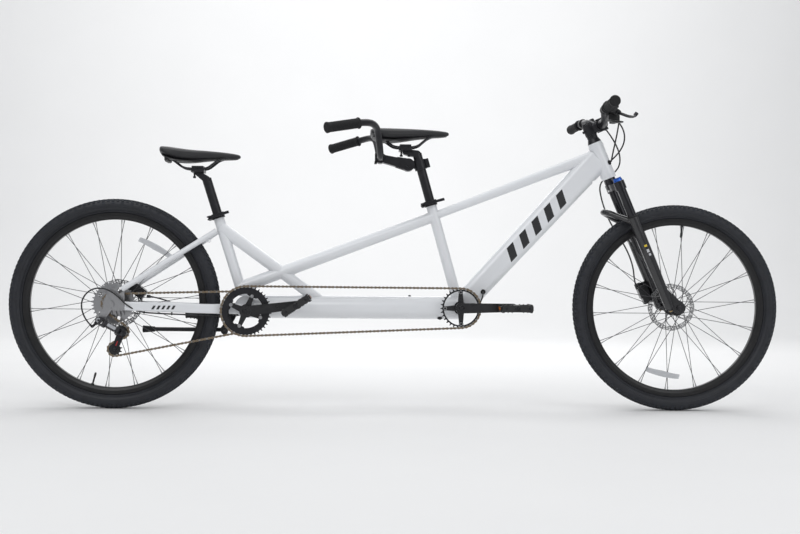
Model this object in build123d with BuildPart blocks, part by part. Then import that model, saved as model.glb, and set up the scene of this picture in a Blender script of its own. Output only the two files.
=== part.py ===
from build123d import *
import math
import os

os.makedirs("parts", exist_ok=True)

# ---------------------------------------------------------------- dimensions
# All in millimetres. +X forward, +Y to the rider's left, +Z up. The origin is
# on the ground, midway between the two axles.
WHEELBASE = 1858.0
WHEEL_R = 344.0                      # over the tyre knobs
AXLE_R = (-WHEELBASE / 2, WHEEL_R)   # rear axle, X and Z
AXLE_F = (WHEELBASE / 2, WHEEL_R)    # front axle
TYRE_W = 56.0
RIM_BEAD_R = 292.0
RIM_OUT_R = 297.5
RIM_IN_R = 275.5
RIM_W = 28.0
SPOKES = 36
SPOKE_R = 1.0

BB_F = (205.7, 338.3)                # front crank axis
BB_R = (-495.8, 323.7)               # rear crank axis
BB_SHELL_R = 22.0
BB_SHELL_W = 73.0
CRANK_LEN = 170.0
FRONT_CRANK_DEG = 1.0
REAR_CRANK_DEG = 7.4

HEAD_DEG = 67.2
HEAD_TOP = (659.0, 884.4)
HEAD_LEN = 109.0
HEAD_R = 24.5
STEERER_R = 14.3
LEG_Y = 60.0
LEG_X = 10.0                         # legs ahead of the steering axis
STANCHION_R = 14.5
TRAVEL = 60.0

SEAT_F_DEG = 74.1
SEAT_R_DEG = 72.3
SEAT_TUBE_R = 17.5
POST_R = 15.45
POST_BORE_R = 15.5

BOOM_R = 38.0
BOOM_Z = 337.2

PITCH = 12.7
Y_TIMING = -60.0
Y_DRIVE = -52.0
T_TIMING_R = 40
T_TIMING_F = 32
T_DRIVE = 32
COGS = ((14, -57.0), (16, -52.0), (18, -47.0), (20, -42.0), (22, -37.0), (24, -32.0), (34, -27.0))
ROTOR_R = 80.0
DROPOUT_R = 67.5                     # inner faces, rear
DROPOUT_F = 50.0                     # inner faces, front

GUIDE = (-896.0, 254.0)
TENSION = (-918.0, 197.0)
T_PULLEY = 11

# ------------------------------------------------------------------- helpers
ca, sa = math.cos(math.radians(HEAD_DEG)), math.sin(math.radians(HEAD_DEG))
# Steering frame: local z up the head tube from its top, local x forward.
FK = Plane(origin=(HEAD_TOP[0], 0, HEAD_TOP[1]), x_dir=(sa, 0, ca), z_dir=(-ca, 0, sa))


def fl(x, y, z):
    return FK.from_local_coords(Vector(x, y, z))


def seat_point(bb, deg, dist):
    """Point on a seat tube's axis, dist above the crank axis."""
    return Vector(bb[0] - dist * math.cos(math.radians(deg)), 0, bb[1] + dist * math.sin(math.radians(deg)))


def rod(p, q, r, r2=None, mode=Mode.ADD):
    a, b = Vector(*p), Vector(*q)
    with Locations(Plane(origin=a, z_dir=b - a).location):
        if r2 is None:
            Cylinder(r, (b - a).length, align=(Align.CENTER, Align.CENTER, Align.MIN), mode=mode)
        else:
            Cone(r, r2, (b - a).length, align=(Align.CENTER, Align.CENTER, Align.MIN), mode=mode)


def yrod(x, z, y0, y1, r, mode=Mode.ADD):
    rod((x, y0, z), (x, y1, z), r, mode=mode)


def poly_prism(pts, y0, y1, mode=Mode.ADD):
    """Prism of an X,Z outline between two Y planes."""
    lo, hi = min(y0, y1), max(y0, y1)
    with BuildSketch(Plane.XZ.offset(-hi)) as s:
        with BuildLine():
            Polyline(*pts, close=True)
        make_face()
    extrude(s.sketch, amount=hi - lo, mode=mode)


def hull_prism(circles, y0, y1, mode=Mode.ADD, n=40):
    """Prism round a convex string of circles (x, z, r)."""
    pts = []
    for cx, cz, r in circles:
        for i in range(n):
            a = 2 * math.pi * i / n
            pts.append((cx + r * math.cos(a), cz + r * math.sin(a)))
    pts = sorted(set((round(a, 5), round(b, 5)) for a, b in pts))

    def half(seq):
        out = []
        for p in seq:
            while len(out) > 1 and (out[-1][0] - out[-2][0]) * (p[1] - out[-2][1]) - (out[-1][1] - out[-2][1]) * (p[0] - out[-2][0]) <= 1e-9:
                out.pop()
            out.append(p)
        return out

    lower, upper = half(pts), half(pts[::-1])
    poly_prism(lower[:-1] + upper[:-1], y0, y1, mode)


def auto_radii(pts, k=0.45):
    out = []
    for i in range(1, len(pts) - 1):
        a, b, c = Vector(*pts[i - 1]), Vector(*pts[i]), Vector(*pts[i + 1])
        run = min((b - a).length, (c - b).length)
        turn = math.radians((b - a).get_angle(c - b))
        out.append(k * run / math.tan(max(turn, 0.02) / 2))
    return out


def tube_path(pts, r, mode=Mode.ADD, name=None):
    radii = auto_radii(pts)
    if name:
        print(name, "arc radii", [round(v) for v in radii])
    with BuildLine() as path:
        FilletPolyline(*pts, radius=radii)
    with BuildSketch(Plane(origin=path.line @ 0, z_dir=path.line % 0)) as s:
        Circle(r)
    sweep(s.sketch, path=path.line, mode=mode)
    length = sum(e.length for e in path.line.edges())
    if name:
        print(name, "length", round(length, 1))
    return length


def sprocket_points(teeth, cx, cz, phase=0.0, tip=2.6, root=3.9):
    rp = PITCH / (2 * math.sin(math.pi / teeth))
    pts = []
    for k in range(teeth):
        a = phase + 2 * math.pi * k / teeth
        for da, rr in ((-2.9, rp - root), (-1.0, rp + tip), (1.0, rp + tip), (2.9, rp - root)):
            ang = a + da / rr
            pts.append((cx + rr * math.cos(ang), cz + rr * math.sin(ang)))
    return pts


def pitch_r(teeth):
    return PITCH / (2 * math.sin(math.pi / teeth))


def belt_path(circles, step=7.0):
    """Points and right-hand normals of a chain line round circles.
    Each circle is (x, z, r, s): s=+1 turns clockwise seen from the right side."""
    n = len(circles)
    tang = []
    for i in range(n):
        x1, z1, r1, s1 = circles[i]
        x2, z2, r2, s2 = circles[(i + 1) % n]
        dx, dz = x2 - x1, z2 - z1
        dd = dx * dx + dz * dz
        dl = s2 * r2 - s1 * r1
        ln = math.sqrt(dd - dl * dl)
        d = ((ln * dx - dl * dz) / dd, (ln * dz + dl * dx) / dd)
        rn = (d[1], -d[0])
        tang.append(((x1 - s1 * r1 * rn[0], z1 - s1 * r1 * rn[1]), (x2 - s2 * r2 * rn[0], z2 - s2 * r2 * rn[1]), rn))
    out = []
    for i in range(n):
        x, z, r, s = circles[i]
        pin, pout = tang[i - 1][1], tang[i][0]
        a0 = math.atan2(pin[1] - z, pin[0] - x)
        a1 = math.atan2(pout[1] - z, pout[0] - x)
        if s > 0:
            while a1 > a0:
                a1 -= 2 * math.pi
        else:
            while a1 < a0:
                a1 += 2 * math.pi
        m = max(2, int(math.ceil(abs(a1 - a0) * r / step)))
        for j in range(m + 1):
            a = a0 + (a1 - a0) * j / m
            px, pz = x + r * math.cos(a), z + r * math.sin(a)
            out.append((px, pz, -s * math.cos(a), -s * math.sin(a)))
    return out


def chain_band(circles, y, half_h=4.0, inner=2.1, outer=3.3):
    pts = belt_path(circles)
    left = [(p[0] - half_h * p[2], p[1] - half_h * p[3]) for p in pts]
    right = [(p[0] + half_h * p[2], p[1] + half_h * p[3]) for p in pts]
    for y0, y1 in ((y - outer, y - inner), (y + inner, y + outer)):
        with BuildSketch(Plane.XZ.offset(-y1)) as s:
            with BuildLine():
                Polyline(*left, close=True)
            make_face()
            with BuildLine():
                Polyline(*right, close=True)
            make_face(mode=Mode.SUBTRACT)
        extrude(s.sketch, amount=y1 - y0)


def write(part, name):
    part.label = name
    export_step(part, "parts/" + name + ".step")


# ============================================================ frame, main tubes
ht_bot = fl(0, 0, -HEAD_LEN)

with BuildPart() as head_tube:
    rod(fl(0, 0, -HEAD_LEN), fl(0, 0, 0), HEAD_R)
    rod(fl(0, 0, -HEAD_LEN), fl(0, 0, -HEAD_LEN + 8), HEAD_R + 1.2)
    rod(fl(0, 0, -8), fl(0, 0, 0), HEAD_R + 1.2)
    rod(fl(0, 0, -HEAD_LEN - 1), fl(0, 0, 1), 20.0, mode=Mode.SUBTRACT)
    # pressed headset cups, one at each end
    rod(fl(0, 0, 0.02), fl(0, 0, 9), 24.0)
    rod(fl(0, 0, -12), fl(0, 0, 0.5), 19.95)
    rod(fl(0, 0, -HEAD_LEN - 10), fl(0, 0, -HEAD_LEN - 0.02), 25.0)
    rod(fl(0, 0, -HEAD_LEN - 0.5), fl(0, 0, -HEAD_LEN + 12), 19.95)
    rod(fl(0, 0, -HEAD_LEN - 12), fl(0, 0, 12), STEERER_R + 0.05, mode=Mode.SUBTRACT)
write(head_tube.part, "head_tube")

seat_f_top = seat_point(BB_F, SEAT_F_DEG, 364.0)
seat_r_top = seat_point(BB_R, SEAT_R_DEG, 331.0)
with BuildPart() as seat_tubes:
    for bb, deg, top in ((BB_F, SEAT_F_DEG, seat_f_top), (BB_R, SEAT_R_DEG, seat_r_top)):
        rod(seat_point(bb, deg, 10), top, SEAT_TUBE_R)
        rod(seat_point(bb, deg, 5), seat_point(bb, deg, 420), POST_BORE_R, mode=Mode.SUBTRACT)
        yrod(bb[0], bb[1], -60, 60, BB_SHELL_R, mode=Mode.SUBTRACT)
    # the boom's tube wall closes the foot of both seat tubes
    rod((BB_R[0] - 60, 0, BOOM_Z), (BB_F[0] + 60, 0, BOOM_Z), BOOM_R, mode=Mode.SUBTRACT)
    yrod(BB_R[0] - 3, BOOM_Z, -34, 34, BOOM_R - 2.5, mode=Mode.SUBTRACT)
write(seat_tubes.part, "seat_tubes")

with BuildPart() as boom_tube:
    rod((BB_R[0], 0, BOOM_Z), (BB_F[0], 0, BOOM_Z), BOOM_R)
    # the tube's ends are wrapped round the two crank shells
    yrod(BB_R[0] - 3, BOOM_Z, -34, 34, BOOM_R - 2.5)
    rod((BB_R[0] + 30, 0, BOOM_Z), (BB_F[0] - 30, 0, BOOM_Z), BOOM_R - 2.5, mode=Mode.SUBTRACT)
    for bb in (BB_F, BB_R):
        yrod(bb[0], bb[1], -60, 60, BB_SHELL_R, mode=Mode.SUBTRACT)
write(boom_tube.part, "boom_tube")


def tube_between(p, q, r0, r1, wall=2.0):
    """Tapered hollow tube, open at both ends."""
    rod(p, q, r0, r1 + 1e-3)
    a, b = Vector(*p), Vector(*q)
    d = (b - a).normalized()
    rod(a - d * 2, b + d * 2, r0 - wall, r1 - wall + 1e-3, mode=Mode.SUBTRACT)


# down tube: deep rounded section, 76 to 84 mm tall
dt_a = Vector(BB_F[0], 0, BB_F[1])
dt_dir = Vector(math.cos(math.radians(47.36)), 0, math.sin(math.radians(47.36)))
dt_len = 678.0


def dt_plane(t):
    o = dt_a + dt_dir * t
    return Plane(origin=o, x_dir=(0, -1, 0), z_dir=dt_dir)


with BuildPart() as dt_skin:
    with BuildSketch(dt_plane(12)) as s0:
        RectangleRounded(50, 73, 21)
    with BuildSketch(dt_plane(180)) as s1:
        RectangleRounded(52, 75, 22)
    with BuildSketch(dt_plane(540)) as s2:
        RectangleRounded(50, 83, 22)
    with BuildSketch(dt_plane(dt_len)) as s3:
        RectangleRounded(44, 84, 20)
    loft()

with BuildPart() as down_tube:
    add(dt_skin.part)
    with BuildSketch(dt_plane(60)) as h0:
        RectangleRounded(45, 68, 18)
    with BuildSketch(dt_plane(180)) as h1:
        RectangleRounded(47, 70, 19)
    with BuildSketch(dt_plane(540)) as h2:
        RectangleRounded(45, 78, 19)
    with BuildSketch(dt_plane(610)) as h3:
        RectangleRounded(42, 78, 18)
    loft(mode=Mode.SUBTRACT)
    rod(fl(0, 0, -HEAD_LEN - 40), fl(0, 0, 30), HEAD_R + 0.02, mode=Mode.SUBTRACT)
    rod(fl(0, 0, -HEAD_LEN - 30), fl(0, 0, -HEAD_LEN + 8), HEAD_R + 1.25, mode=Mode.SUBTRACT)
    rod(fl(0, 0, -8), fl(0, 0, 30), HEAD_R + 1.25, mode=Mode.SUBTRACT)
    # trimmed level with the head tube's two ends, so nothing stands past it
    with Locations(FK.location * Location((0, 0, -HEAD_LEN - 38))):
        Box(120, 80, 80, mode=Mode.SUBTRACT)
    with Locations(FK.location * Location((0, 0, 36))):
        Box(160, 80, 80, mode=Mode.SUBTRACT)
    with Locations(FK.location * Location((52, 0, -50))):
        Box(100, 90, 160, mode=Mode.SUBTRACT)
    yrod(BB_F[0], BB_F[1], -60, 60, BB_SHELL_R, mode=Mode.SUBTRACT)
    rod((BB_R[0], 0, BOOM_Z), (BB_F[0], 0, BOOM_Z), BOOM_R, mode=Mode.SUBTRACT)
    rod(seat_point(BB_F, SEAT_F_DEG, 10), seat_point(BB_F, SEAT_F_DEG, 200), SEAT_TUBE_R, mode=Mode.SUBTRACT)
write(down_tube.part, "down_tube")

tt_slope = math.atan2(815.75 - 652.0, 563.4 - 143.4)
tt_a = Vector(112, 0, 652.0 + math.tan(tt_slope) * (112 - 143.4))
tt_b = Vector(672, 0, 652.0 + math.tan(tt_slope) * (672 - 143.4))
with BuildPart() as top_tube:
    tube_between(tt_a, tt_b, 13.6, 18.4)
    add(dt_skin.part, mode=Mode.SUBTRACT)
    rod(fl(0, 0, -HEAD_LEN - 40), fl(0, 0, 60), HEAD_R + 1.25, mode=Mode.SUBTRACT)
    with Locations(FK.location * Location((52, 0, -50))):
        Box(100, 90, 160, mode=Mode.SUBTRACT)
    rod(seat_point(BB_F, SEAT_F_DEG, 200), seat_point(BB_F, SEAT_F_DEG, 420), SEAT_TUBE_R, mode=Mode.SUBTRACT)
    with Locations(Location((80, 0, 640))):
        Box(70, 80, 160, mode=Mode.SUBTRACT)
write(top_tube.part, "top_tube")

lat_a = Vector(-527, 0, 428.2 + 0.3784 * (-527 + 443.6))
lat_b = Vector(128, 0, 428.2 + 0.3784 * (128 + 443.6))
with BuildPart() as lateral_tube:
    tube_between(lat_a, lat_b, 20.9, 18.4)
    rod(seat_point(BB_F, SEAT_F_DEG, 100), seat_point(BB_F, SEAT_F_DEG, 420), SEAT_TUBE_R, mode=Mode.SUBTRACT)
    rod(seat_point(BB_R, SEAT_R_DEG, 0), seat_point(BB_R, SEAT_R_DEG, 300), SEAT_TUBE_R, mode=Mode.SUBTRACT)
    rod((BB_R[0] - 60, 0, BOOM_Z), (BB_F[0], 0, BOOM_Z), BOOM_R, mode=Mode.SUBTRACT)
    with Locations(Location((149, 0, 640), (0, -15.9, 0))):
        Box(60, 80, 160, mode=Mode.SUBTRACT)
    with Locations(Location((-556, 0, 400), (0, -17.7, 0))):
        Box(60, 80, 200, mode=Mode.SUBTRACT)
write(lateral_tube.part, "lateral_tube")

dg_a = Vector(-586, 0, 568 - 0.7263 * (-586 + 546))
dg_b = Vector(-252, 0, 568 - 0.7263 * (-252 + 546))
with BuildPart() as diagonal_tube:
    tube_between(dg_a, dg_b, 20.2, 19.2)
    rod(lat_a, lat_b, 20.9, 18.4 + 1e-3, mode=Mode.SUBTRACT)
    rod(seat_point(BB_R, SEAT_R_DEG, 100), seat_point(BB_R, SEAT_R_DEG, 400), SEAT_TUBE_R, mode=Mode.SUBTRACT)
    with Locations(Location((-628, 0, 600), (0, -17.7, 0))):
        Box(60, 80, 160, mode=Mode.SUBTRACT)
    rod((BB_R[0], 0, BOOM_Z), (BB_F[0], 0, BOOM_Z), BOOM_R, mode=Mode.SUBTRACT)
    with Locations(Location((-250, 0, BOOM_Z - 20))):
        Box(200, 90, 50, mode=Mode.SUBTRACT)
write(diagonal_tube.part, "diagonal_tube")

# ================================================================ rear triangle
cs_line = ((-508, 31, 329.5, 33), (-545, 34.5, 329.5, 33), (-585, 40.5, 329.6, 32), (-650, 46.5, 330.6, 31), (-760, 54.5, 334, 31), (-884, 65.0, 337.8, 29))
ss_line = ((-894, 68.5, 391.5), (-820, 63.0, 439.5), (-740, 54.0, 491.5), (-655, 38.0, 547.0), (-598, 20.5, 585.0))
with BuildPart() as rear_stays:
    for side in (1, -1):
        for i, (x, y, z, h) in enumerate(cs_line):
            with BuildSketch(Plane.YZ.offset(x)):
                with Locations((side * y, z)):
                    RectangleRounded(15, h, 5)
        loft()
    for side in (1, -1):
        tube_path([(p[0], side * p[1], p[2]) for p in ss_line], 9.2)
    # bridge between the seat stays, and a short plate between the chainstays
    rod((-627, -30, 553), (-627, 30, 553), 6.0)
    with Locations(Location((-550, 0, 329.6))):
        Box(34, 66, 18)
    for bb, deg in ((BB_R, SEAT_R_DEG),):
        rod(seat_point(bb, deg, 0), seat_point(bb, deg, 420), SEAT_TUBE_R + 0.02, mode=Mode.SUBTRACT)
        yrod(bb[0], bb[1], -60, 60, BB_SHELL_R, mode=Mode.SUBTRACT)
    yrod(BB_R[0] - 3, BOOM_Z, -34.02, 34.02, BOOM_R - 2.5 + 0.02, mode=Mode.SUBTRACT)
    rod((BB_R[0], 0, BOOM_Z), (BB_F[0], 0, BOOM_Z), BOOM_R + 0.02, mode=Mode.SUBTRACT)
write(rear_stays.part, "rear_stays")

with BuildPart() as dropouts:
    for side in (1, -1):
        y0, y1 = side * DROPOUT_R, side * (DROPOUT_R + 6)
        plate = [(-950, 340), (-944, 372), (-930, 386), (-905, 403), (-893, 402), (-884.5, 384), (-884.5, 324), (-905, 322), (-930, 324), (-945, 328)]
        poly_prism(plate, y0, y1)
    # derailleur hanger, part of the right-hand plate
    hull_prism([(-938, 330, 14), (-960, 294, 10)], -DROPOUT_R, -DROPOUT_R - 6)
    # disc caliper tab on the left-hand plate
    poly_prism([(-905, 385), (-893, 412), (-868, 412), (-868, 404), (-884.5, 380)], DROPOUT_R, DROPOUT_R + 6)
    # stays are let into the plates
    for side in (1, -1):
        poly_prism([(-884.4, 300), (-884.4, 430), (-800, 430), (-800, 300)], side * 50, side * 66, mode=Mode.SUBTRACT)
        rod((-894 - 12, side * 69.4, 383.7), (-820, side * 63.0, 439.5), 9.4, mode=Mode.SUBTRACT)
    yrod(AXLE_R[0], AXLE_R[1], -90, 90, 5.05, mode=Mode.SUBTRACT)
    yrod(-961.9, 292.3, -90, -60, 5.05, mode=Mode.SUBTRACT)
    # solid axle, with a domed cap nut outside each plate
    yrod(AXLE_R[0], AXLE_R[1], -77, 77, 5.0)
    for side in (1, -1):
        yrod(AXLE_R[0], AXLE_R[1], side * (DROPOUT_R + 6.03), side * (DROPOUT_R + 12), 12.0)
        yrod(AXLE_R[0], AXLE_R[1], side * (DROPOUT_R + 11.9), side * (DROPOUT_R + 14.5), 9.0)
        # locknut and spacer that bear on the inside of the plate
        yrod(AXLE_R[0], AXLE_R[1], side * 61.5, side * (DROPOUT_R - 0.03), 9.0)
write(dropouts.part, "dropouts")

with BuildPart() as bottom_brackets:
    for x, z in (BB_F, BB_R):
        yrod(x, z, -BB_SHELL_W / 2, BB_SHELL_W / 2, BB_SHELL_R - 0.02)
        yrod(x, z, -60, 60, 17.0, mode=Mode.SUBTRACT)
        # threaded bearing cups
        for side in (1, -1):
            yrod(x, z, side * (BB_SHELL_W / 2 + 0.03), side * 42.5, 21.5)
            yrod(x, z, side * 24, side * 38, 16.95)
    for x, z in (BB_F, BB_R):
        yrod(x, z, -60, 60, 8.55, mode=Mode.SUBTRACT)
write(bottom_brackets.part, "bottom_brackets")

with BuildPart() as seat_collars:
    for bb, deg, top in ((BB_F, SEAT_F_DEG, seat_f_top), (BB_R, SEAT_R_DEG, seat_r_top)):
        up = (top - seat_point(bb, deg, 0)).normalized()
        pl = Plane(origin=top + up * (-13), x_dir=(math.sin(math.radians(deg)), 0, math.cos(math.radians(deg))), z_dir=up)
        with Locations(pl.location):
            Cylinder(21.5, 18, align=(Align.CENTER, Align.CENTER, Align.MIN))
        with Locations(pl.location * Location((-25, 0, 9))):
            Box(14, 21, 15)
        with Locations(pl.location * Location((-27, 0, 9))):
            Box(24, 2.5, 24, mode=Mode.SUBTRACT)
        with Locations(pl.location * Location((0, 0, -1))):
            Cylinder(SEAT_TUBE_R + 0.05, 14.1, align=(Align.CENTER, Align.CENTER, Align.MIN), mode=Mode.SUBTRACT)
        with Locations(pl.location * Location((0, 0, 10))):
            Cylinder(POST_BORE_R + 0.4, 12, align=(Align.CENTER, Align.CENTER, Align.MIN), mode=Mode.SUBTRACT)
        # cross bolt and its nut
        with Locations(pl.location * Location((-27, 0, 9), (90, 0, 0))):
            Cylinder(2.6, 40, mode=Mode.SUBTRACT)
            Cylinder(2.5, 38)
        with Locations(pl.location * Location((-27, 15.1, 9), (90, 0, 0))):
            Cylinder(6.0, 9)
write(seat_collars.part, "seat_collars")


def qr_lever(bb, deg, top):
    """Cam lever on the right of a seat collar, lying forward along it."""
    up = (top - seat_point(bb, deg, 0)).normalized()
    return Plane(origin=top + up * (-13), x_dir=(math.sin(math.radians(deg)), 0, math.cos(math.radians(deg))), z_dir=up)


with BuildPart() as groove:
    Cylinder(7.8, 5.6)
    Cylinder(4.3, 5.6, mode=Mode.SUBTRACT)
cam_groove = groove.part

with BuildPart() as front_seat_lever:
    pl = qr_lever(BB_F, SEAT_F_DEG, seat_f_top)
    with Locations(pl.location * Location((-27, -23.5, 9))):
        Cylinder(7.5, 13)
    with BuildSketch(Plane(origin=pl.from_local_coords(Vector(-27, 0, 5)), x_dir=pl.x_dir, z_dir=pl.z_dir)) as s:
        with BuildLine():
            Polyline((0, -31), (0, -25), (10, -25.5), (30, -28), (52, -28.5), (70, -25.5), (73, -28), (70, -31.5), (50, -34.5), (24, -34), close=True)
        make_face()
    extrude(s.sketch, amount=9)
    with Locations(pl.location * Location((-27, -23.5, 9), (90, 0, 0))):
        Cylinder(2.6, 16, align=(Align.CENTER, Align.CENTER, Align.CENTER), mode=Mode.SUBTRACT)
    # groove round the barrel, so the cross bolt's tip stays clear as the lever swings
    add(cam_groove.moved(pl.location * Location((-27, -23.5, 9))), mode=Mode.SUBTRACT)
write(front_seat_lever.part, "front_seat_lever")

with BuildPart() as rear_seat_lever:
    pl = qr_lever(BB_R, SEAT_R_DEG, seat_r_top)
    with Locations(pl.location * Location((-27, -23.5, 9))):
        Cylinder(7.5, 13)
    with BuildSketch(Plane(origin=pl.from_local_coords(Vector(-27, 0, 5)), x_dir=pl.x_dir, z_dir=pl.z_dir)) as s:
        with BuildLine():
            Polyline((0, -31), (0, -25), (10, -25.5), (30, -28), (50, -28.5), (64, -25.5), (67, -28), (64, -31.5), (48, -34.5), (24, -34), close=True)
        make_face()
    extrude(s.sketch, amount=9)
    with Locations(pl.location * Location((-27, -23.5, 9), (90, 0, 0))):
        Cylinder(2.6, 16, align=(Align.CENTER, Align.CENTER, Align.CENTER), mode=Mode.SUBTRACT)
    # groove round the barrel, so the cross bolt's tip stays clear as the lever swings
    add(cam_groove.moved(pl.location * Location((-27, -23.5, 9))), mode=Mode.SUBTRACT)
write(rear_seat_lever.part, "rear_seat_lever")

# ============================================================ seatposts, saddles
SADDLE_SECTIONS = (
    # distance from the nose tip, width, top and bottom height over the rail line
    (0.0, 24, 51, 40), (14, 34, 56, 38), (60, 44, 60, 35), (110, 60, 62, 29), (155, 92, 62, 22), (205, 134, 62, 17), (240, 138, 61, 22), (262, 96, 56, 34))


def saddle(nose_x, rail_z, tail_up, pitch):
    """Padded saddle on two rails; built level, then pitched nose-down about the clamp."""
    cx = nose_x - 148
    with BuildPart() as rails:
        for side in (1, -1):
            tube_path([(nose_x - 34, side * 12, rail_z + 44), (nose_x - 72, side * 20, rail_z + 33), (nose_x - 103, side * 22, rail_z + 6), (nose_x - 122, side * 22, rail_z), (nose_x - 168, side * 22, rail_z - 1), (nose_x - 195, side * 25, rail_z + 8), (nose_x - 236, side * 30, rail_z + 34)], 3.5)
    with BuildPart() as pad:
        for d, w, top, bot in SADDLE_SECTIONS:
            up = tail_up * max(0.0, (d - 150) / 112.0) ** 1.5
            with BuildSketch(Plane.YZ.offset(nose_x - d)):
                with Locations((0, rail_z + up + (top + bot) / 2)):
                    RectangleRounded(w, top - bot, (top - bot) * 0.44)
        loft()
        for side in (1, -1):
            tube_path([(nose_x - 34, side * 12, rail_z + 44), (nose_x - 72, side * 20, rail_z + 33), (nose_x - 103, side * 22, rail_z + 6), (nose_x - 122, side * 22, rail_z), (nose_x - 168, side * 22, rail_z - 1), (nose_x - 195, side * 25, rail_z + 8), (nose_x - 236, side * 30, rail_z + 34)], 3.55, mode=Mode.SUBTRACT)
    with BuildPart() as bore:
        for side in (1, -1):
            tube_path([(nose_x - 34, side * 12, rail_z + 44), (nose_x - 72, side * 20, rail_z + 33), (nose_x - 103, side * 22, rail_z + 6), (nose_x - 122, side * 22, rail_z), (nose_x - 168, side * 22, rail_z - 1), (nose_x - 195, side * 25, rail_z + 8), (nose_x - 236, side * 30, rail_z + 34)], 3.53)
    return rails.part, pad.part, bore.part, Location((cx, 0, rail_z), (0, pitch, 0)) * Location((-cx, 0, -rail_z))


F_RAIL_Z, F_NOSE_X = 868.5, 166.0
R_RAIL_Z, R_NOSE_X = 789.0, -524.5
f_rails, f_pad, f_bore, f_set = saddle(F_NOSE_X, F_RAIL_Z, 0.0, 0.6)
r_rails, r_pad, r_bore, r_set = saddle(R_NOSE_X, R_RAIL_Z, 10.0, 2.6)

with BuildPart() as front_saddle:
    add(f_pad.moved(f_set))
    add(f_rails.moved(f_set))
write(front_saddle.part, "front_saddle")
with BuildPart() as rear_saddle:
    add(r_pad.moved(r_set))
    add(r_rails.moved(r_set))
write(rear_saddle.part, "rear_saddle")


def post_head(axis_top, clamp_x, rail_z):
    """Forged head: a cradle under the rails, a top plate over them, two bolts."""
    hull_prism([(axis_top.X, axis_top.Z - 2, 12), (clamp_x, rail_z - 15, 9)], -14, 14)
    with Locations(Location((clamp_x, 0, rail_z - 6.2))):
        Box(42, 56, 11.6)
    with Locations(Location((clamp_x, 0, rail_z + 4.4))):
        Box(38, 56, 8)
    for dx in (-13, 13):
        rod((clamp_x + dx, 0, rail_z - 26), (clamp_x + dx, 0, rail_z + 10), 3.0)
        rod((clamp_x + dx, 0, rail_z - 30), (clamp_x + dx, 0, rail_z - 24), 5.0)


f_post_top = seat_point(BB_F, SEAT_F_DEG, 531.0)
r_post_top = seat_point(BB_R, SEAT_R_DEG, 455.0)
with BuildPart() as front_seatpost:
    rod(seat_point(BB_F, SEAT_F_DEG, 205), f_post_top, POST_R)
    rod(seat_point(BB_F, SEAT_F_DEG, 200), seat_point(BB_F, SEAT_F_DEG, 490), POST_R - 2.6, mode=Mode.SUBTRACT)
    post_head(f_post_top, 21.0, F_RAIL_Z)
    add(f_bore.moved(f_set), mode=Mode.SUBTRACT)
write(front_seatpost.part, "front_seatpost")
with BuildPart() as rear_seatpost:
    rod(seat_point(BB_R, SEAT_R_DEG, 185), r_post_top, POST_R)
    rod(seat_point(BB_R, SEAT_R_DEG, 180), seat_point(BB_R, SEAT_R_DEG, 430), POST_R - 2.6, mode=Mode.SUBTRACT)
    post_head(r_post_top, -661.0, R_RAIL_Z)
    add(r_bore.moved(r_set), mode=Mode.SUBTRACT)
write(rear_seatpost.part, "rear_seatpost")

# ========================================================= stoker's stem and bar
ST_CLAMP = seat_point(BB_F, SEAT_F_DEG, 492.0)
ST_PIVOT = (31.1, 810.9)
ST_BAR = (-61.2, 832.0)
with BuildPart() as stoker_stem_clamp:
    up = (f_post_top - seat_point(BB_F, SEAT_F_DEG, 0)).normalized()
    rod(ST_CLAMP - up * 16, ST_CLAMP + up * 16, 20.5)
    hull_prism([(ST_CLAMP.X - 8, ST_CLAMP.Z + 2, 14), (ST_PIVOT[0] + 12, ST_PIVOT[1], 13)], -11.4, 11.4)
    yrod(ST_PIVOT[0], ST_PIVOT[1], -30, 30, 22.0, mode=Mode.SUBTRACT)
    # inner boss of the pivot, with the pivot bolt through it
    yrod(ST_PIVOT[0], ST_PIVOT[1], -11.4, 11.4, 21.0)
    hull_prism([(ST_CLAMP.X - 10, ST_CLAMP.Z, 9), (ST_PIVOT[0], ST_PIVOT[1], 12)], -11.4, 11.4)
    # split at the front of the post, drawn together by two bolts
    with Locations(Plane(origin=ST_CLAMP, x_dir=(math.sin(math.radians(SEAT_F_DEG)), 0, math.cos(math.radians(SEAT_F_DEG))), z_dir=up).location * Location((25, 0, 0))):
        Box(12, 22, 30)
    with Locations(Plane(origin=ST_CLAMP, x_dir=(math.sin(math.radians(SEAT_F_DEG)), 0, math.cos(math.radians(SEAT_F_DEG))), z_dir=up).location * Location((26, 0, 0))):
        Box(20, 2.4, 40, mode=Mode.SUBTRACT)
    rod(ST_CLAMP - up * 20, ST_CLAMP + up * 20, POST_R + 0.04, mode=Mode.SUBTRACT)
    yrod(ST_PIVOT[0], ST_PIVOT[1], -30, 30, 5.05, mode=Mode.SUBTRACT)
write(stoker_stem_clamp.part, "stoker_stem_clamp")

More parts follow.
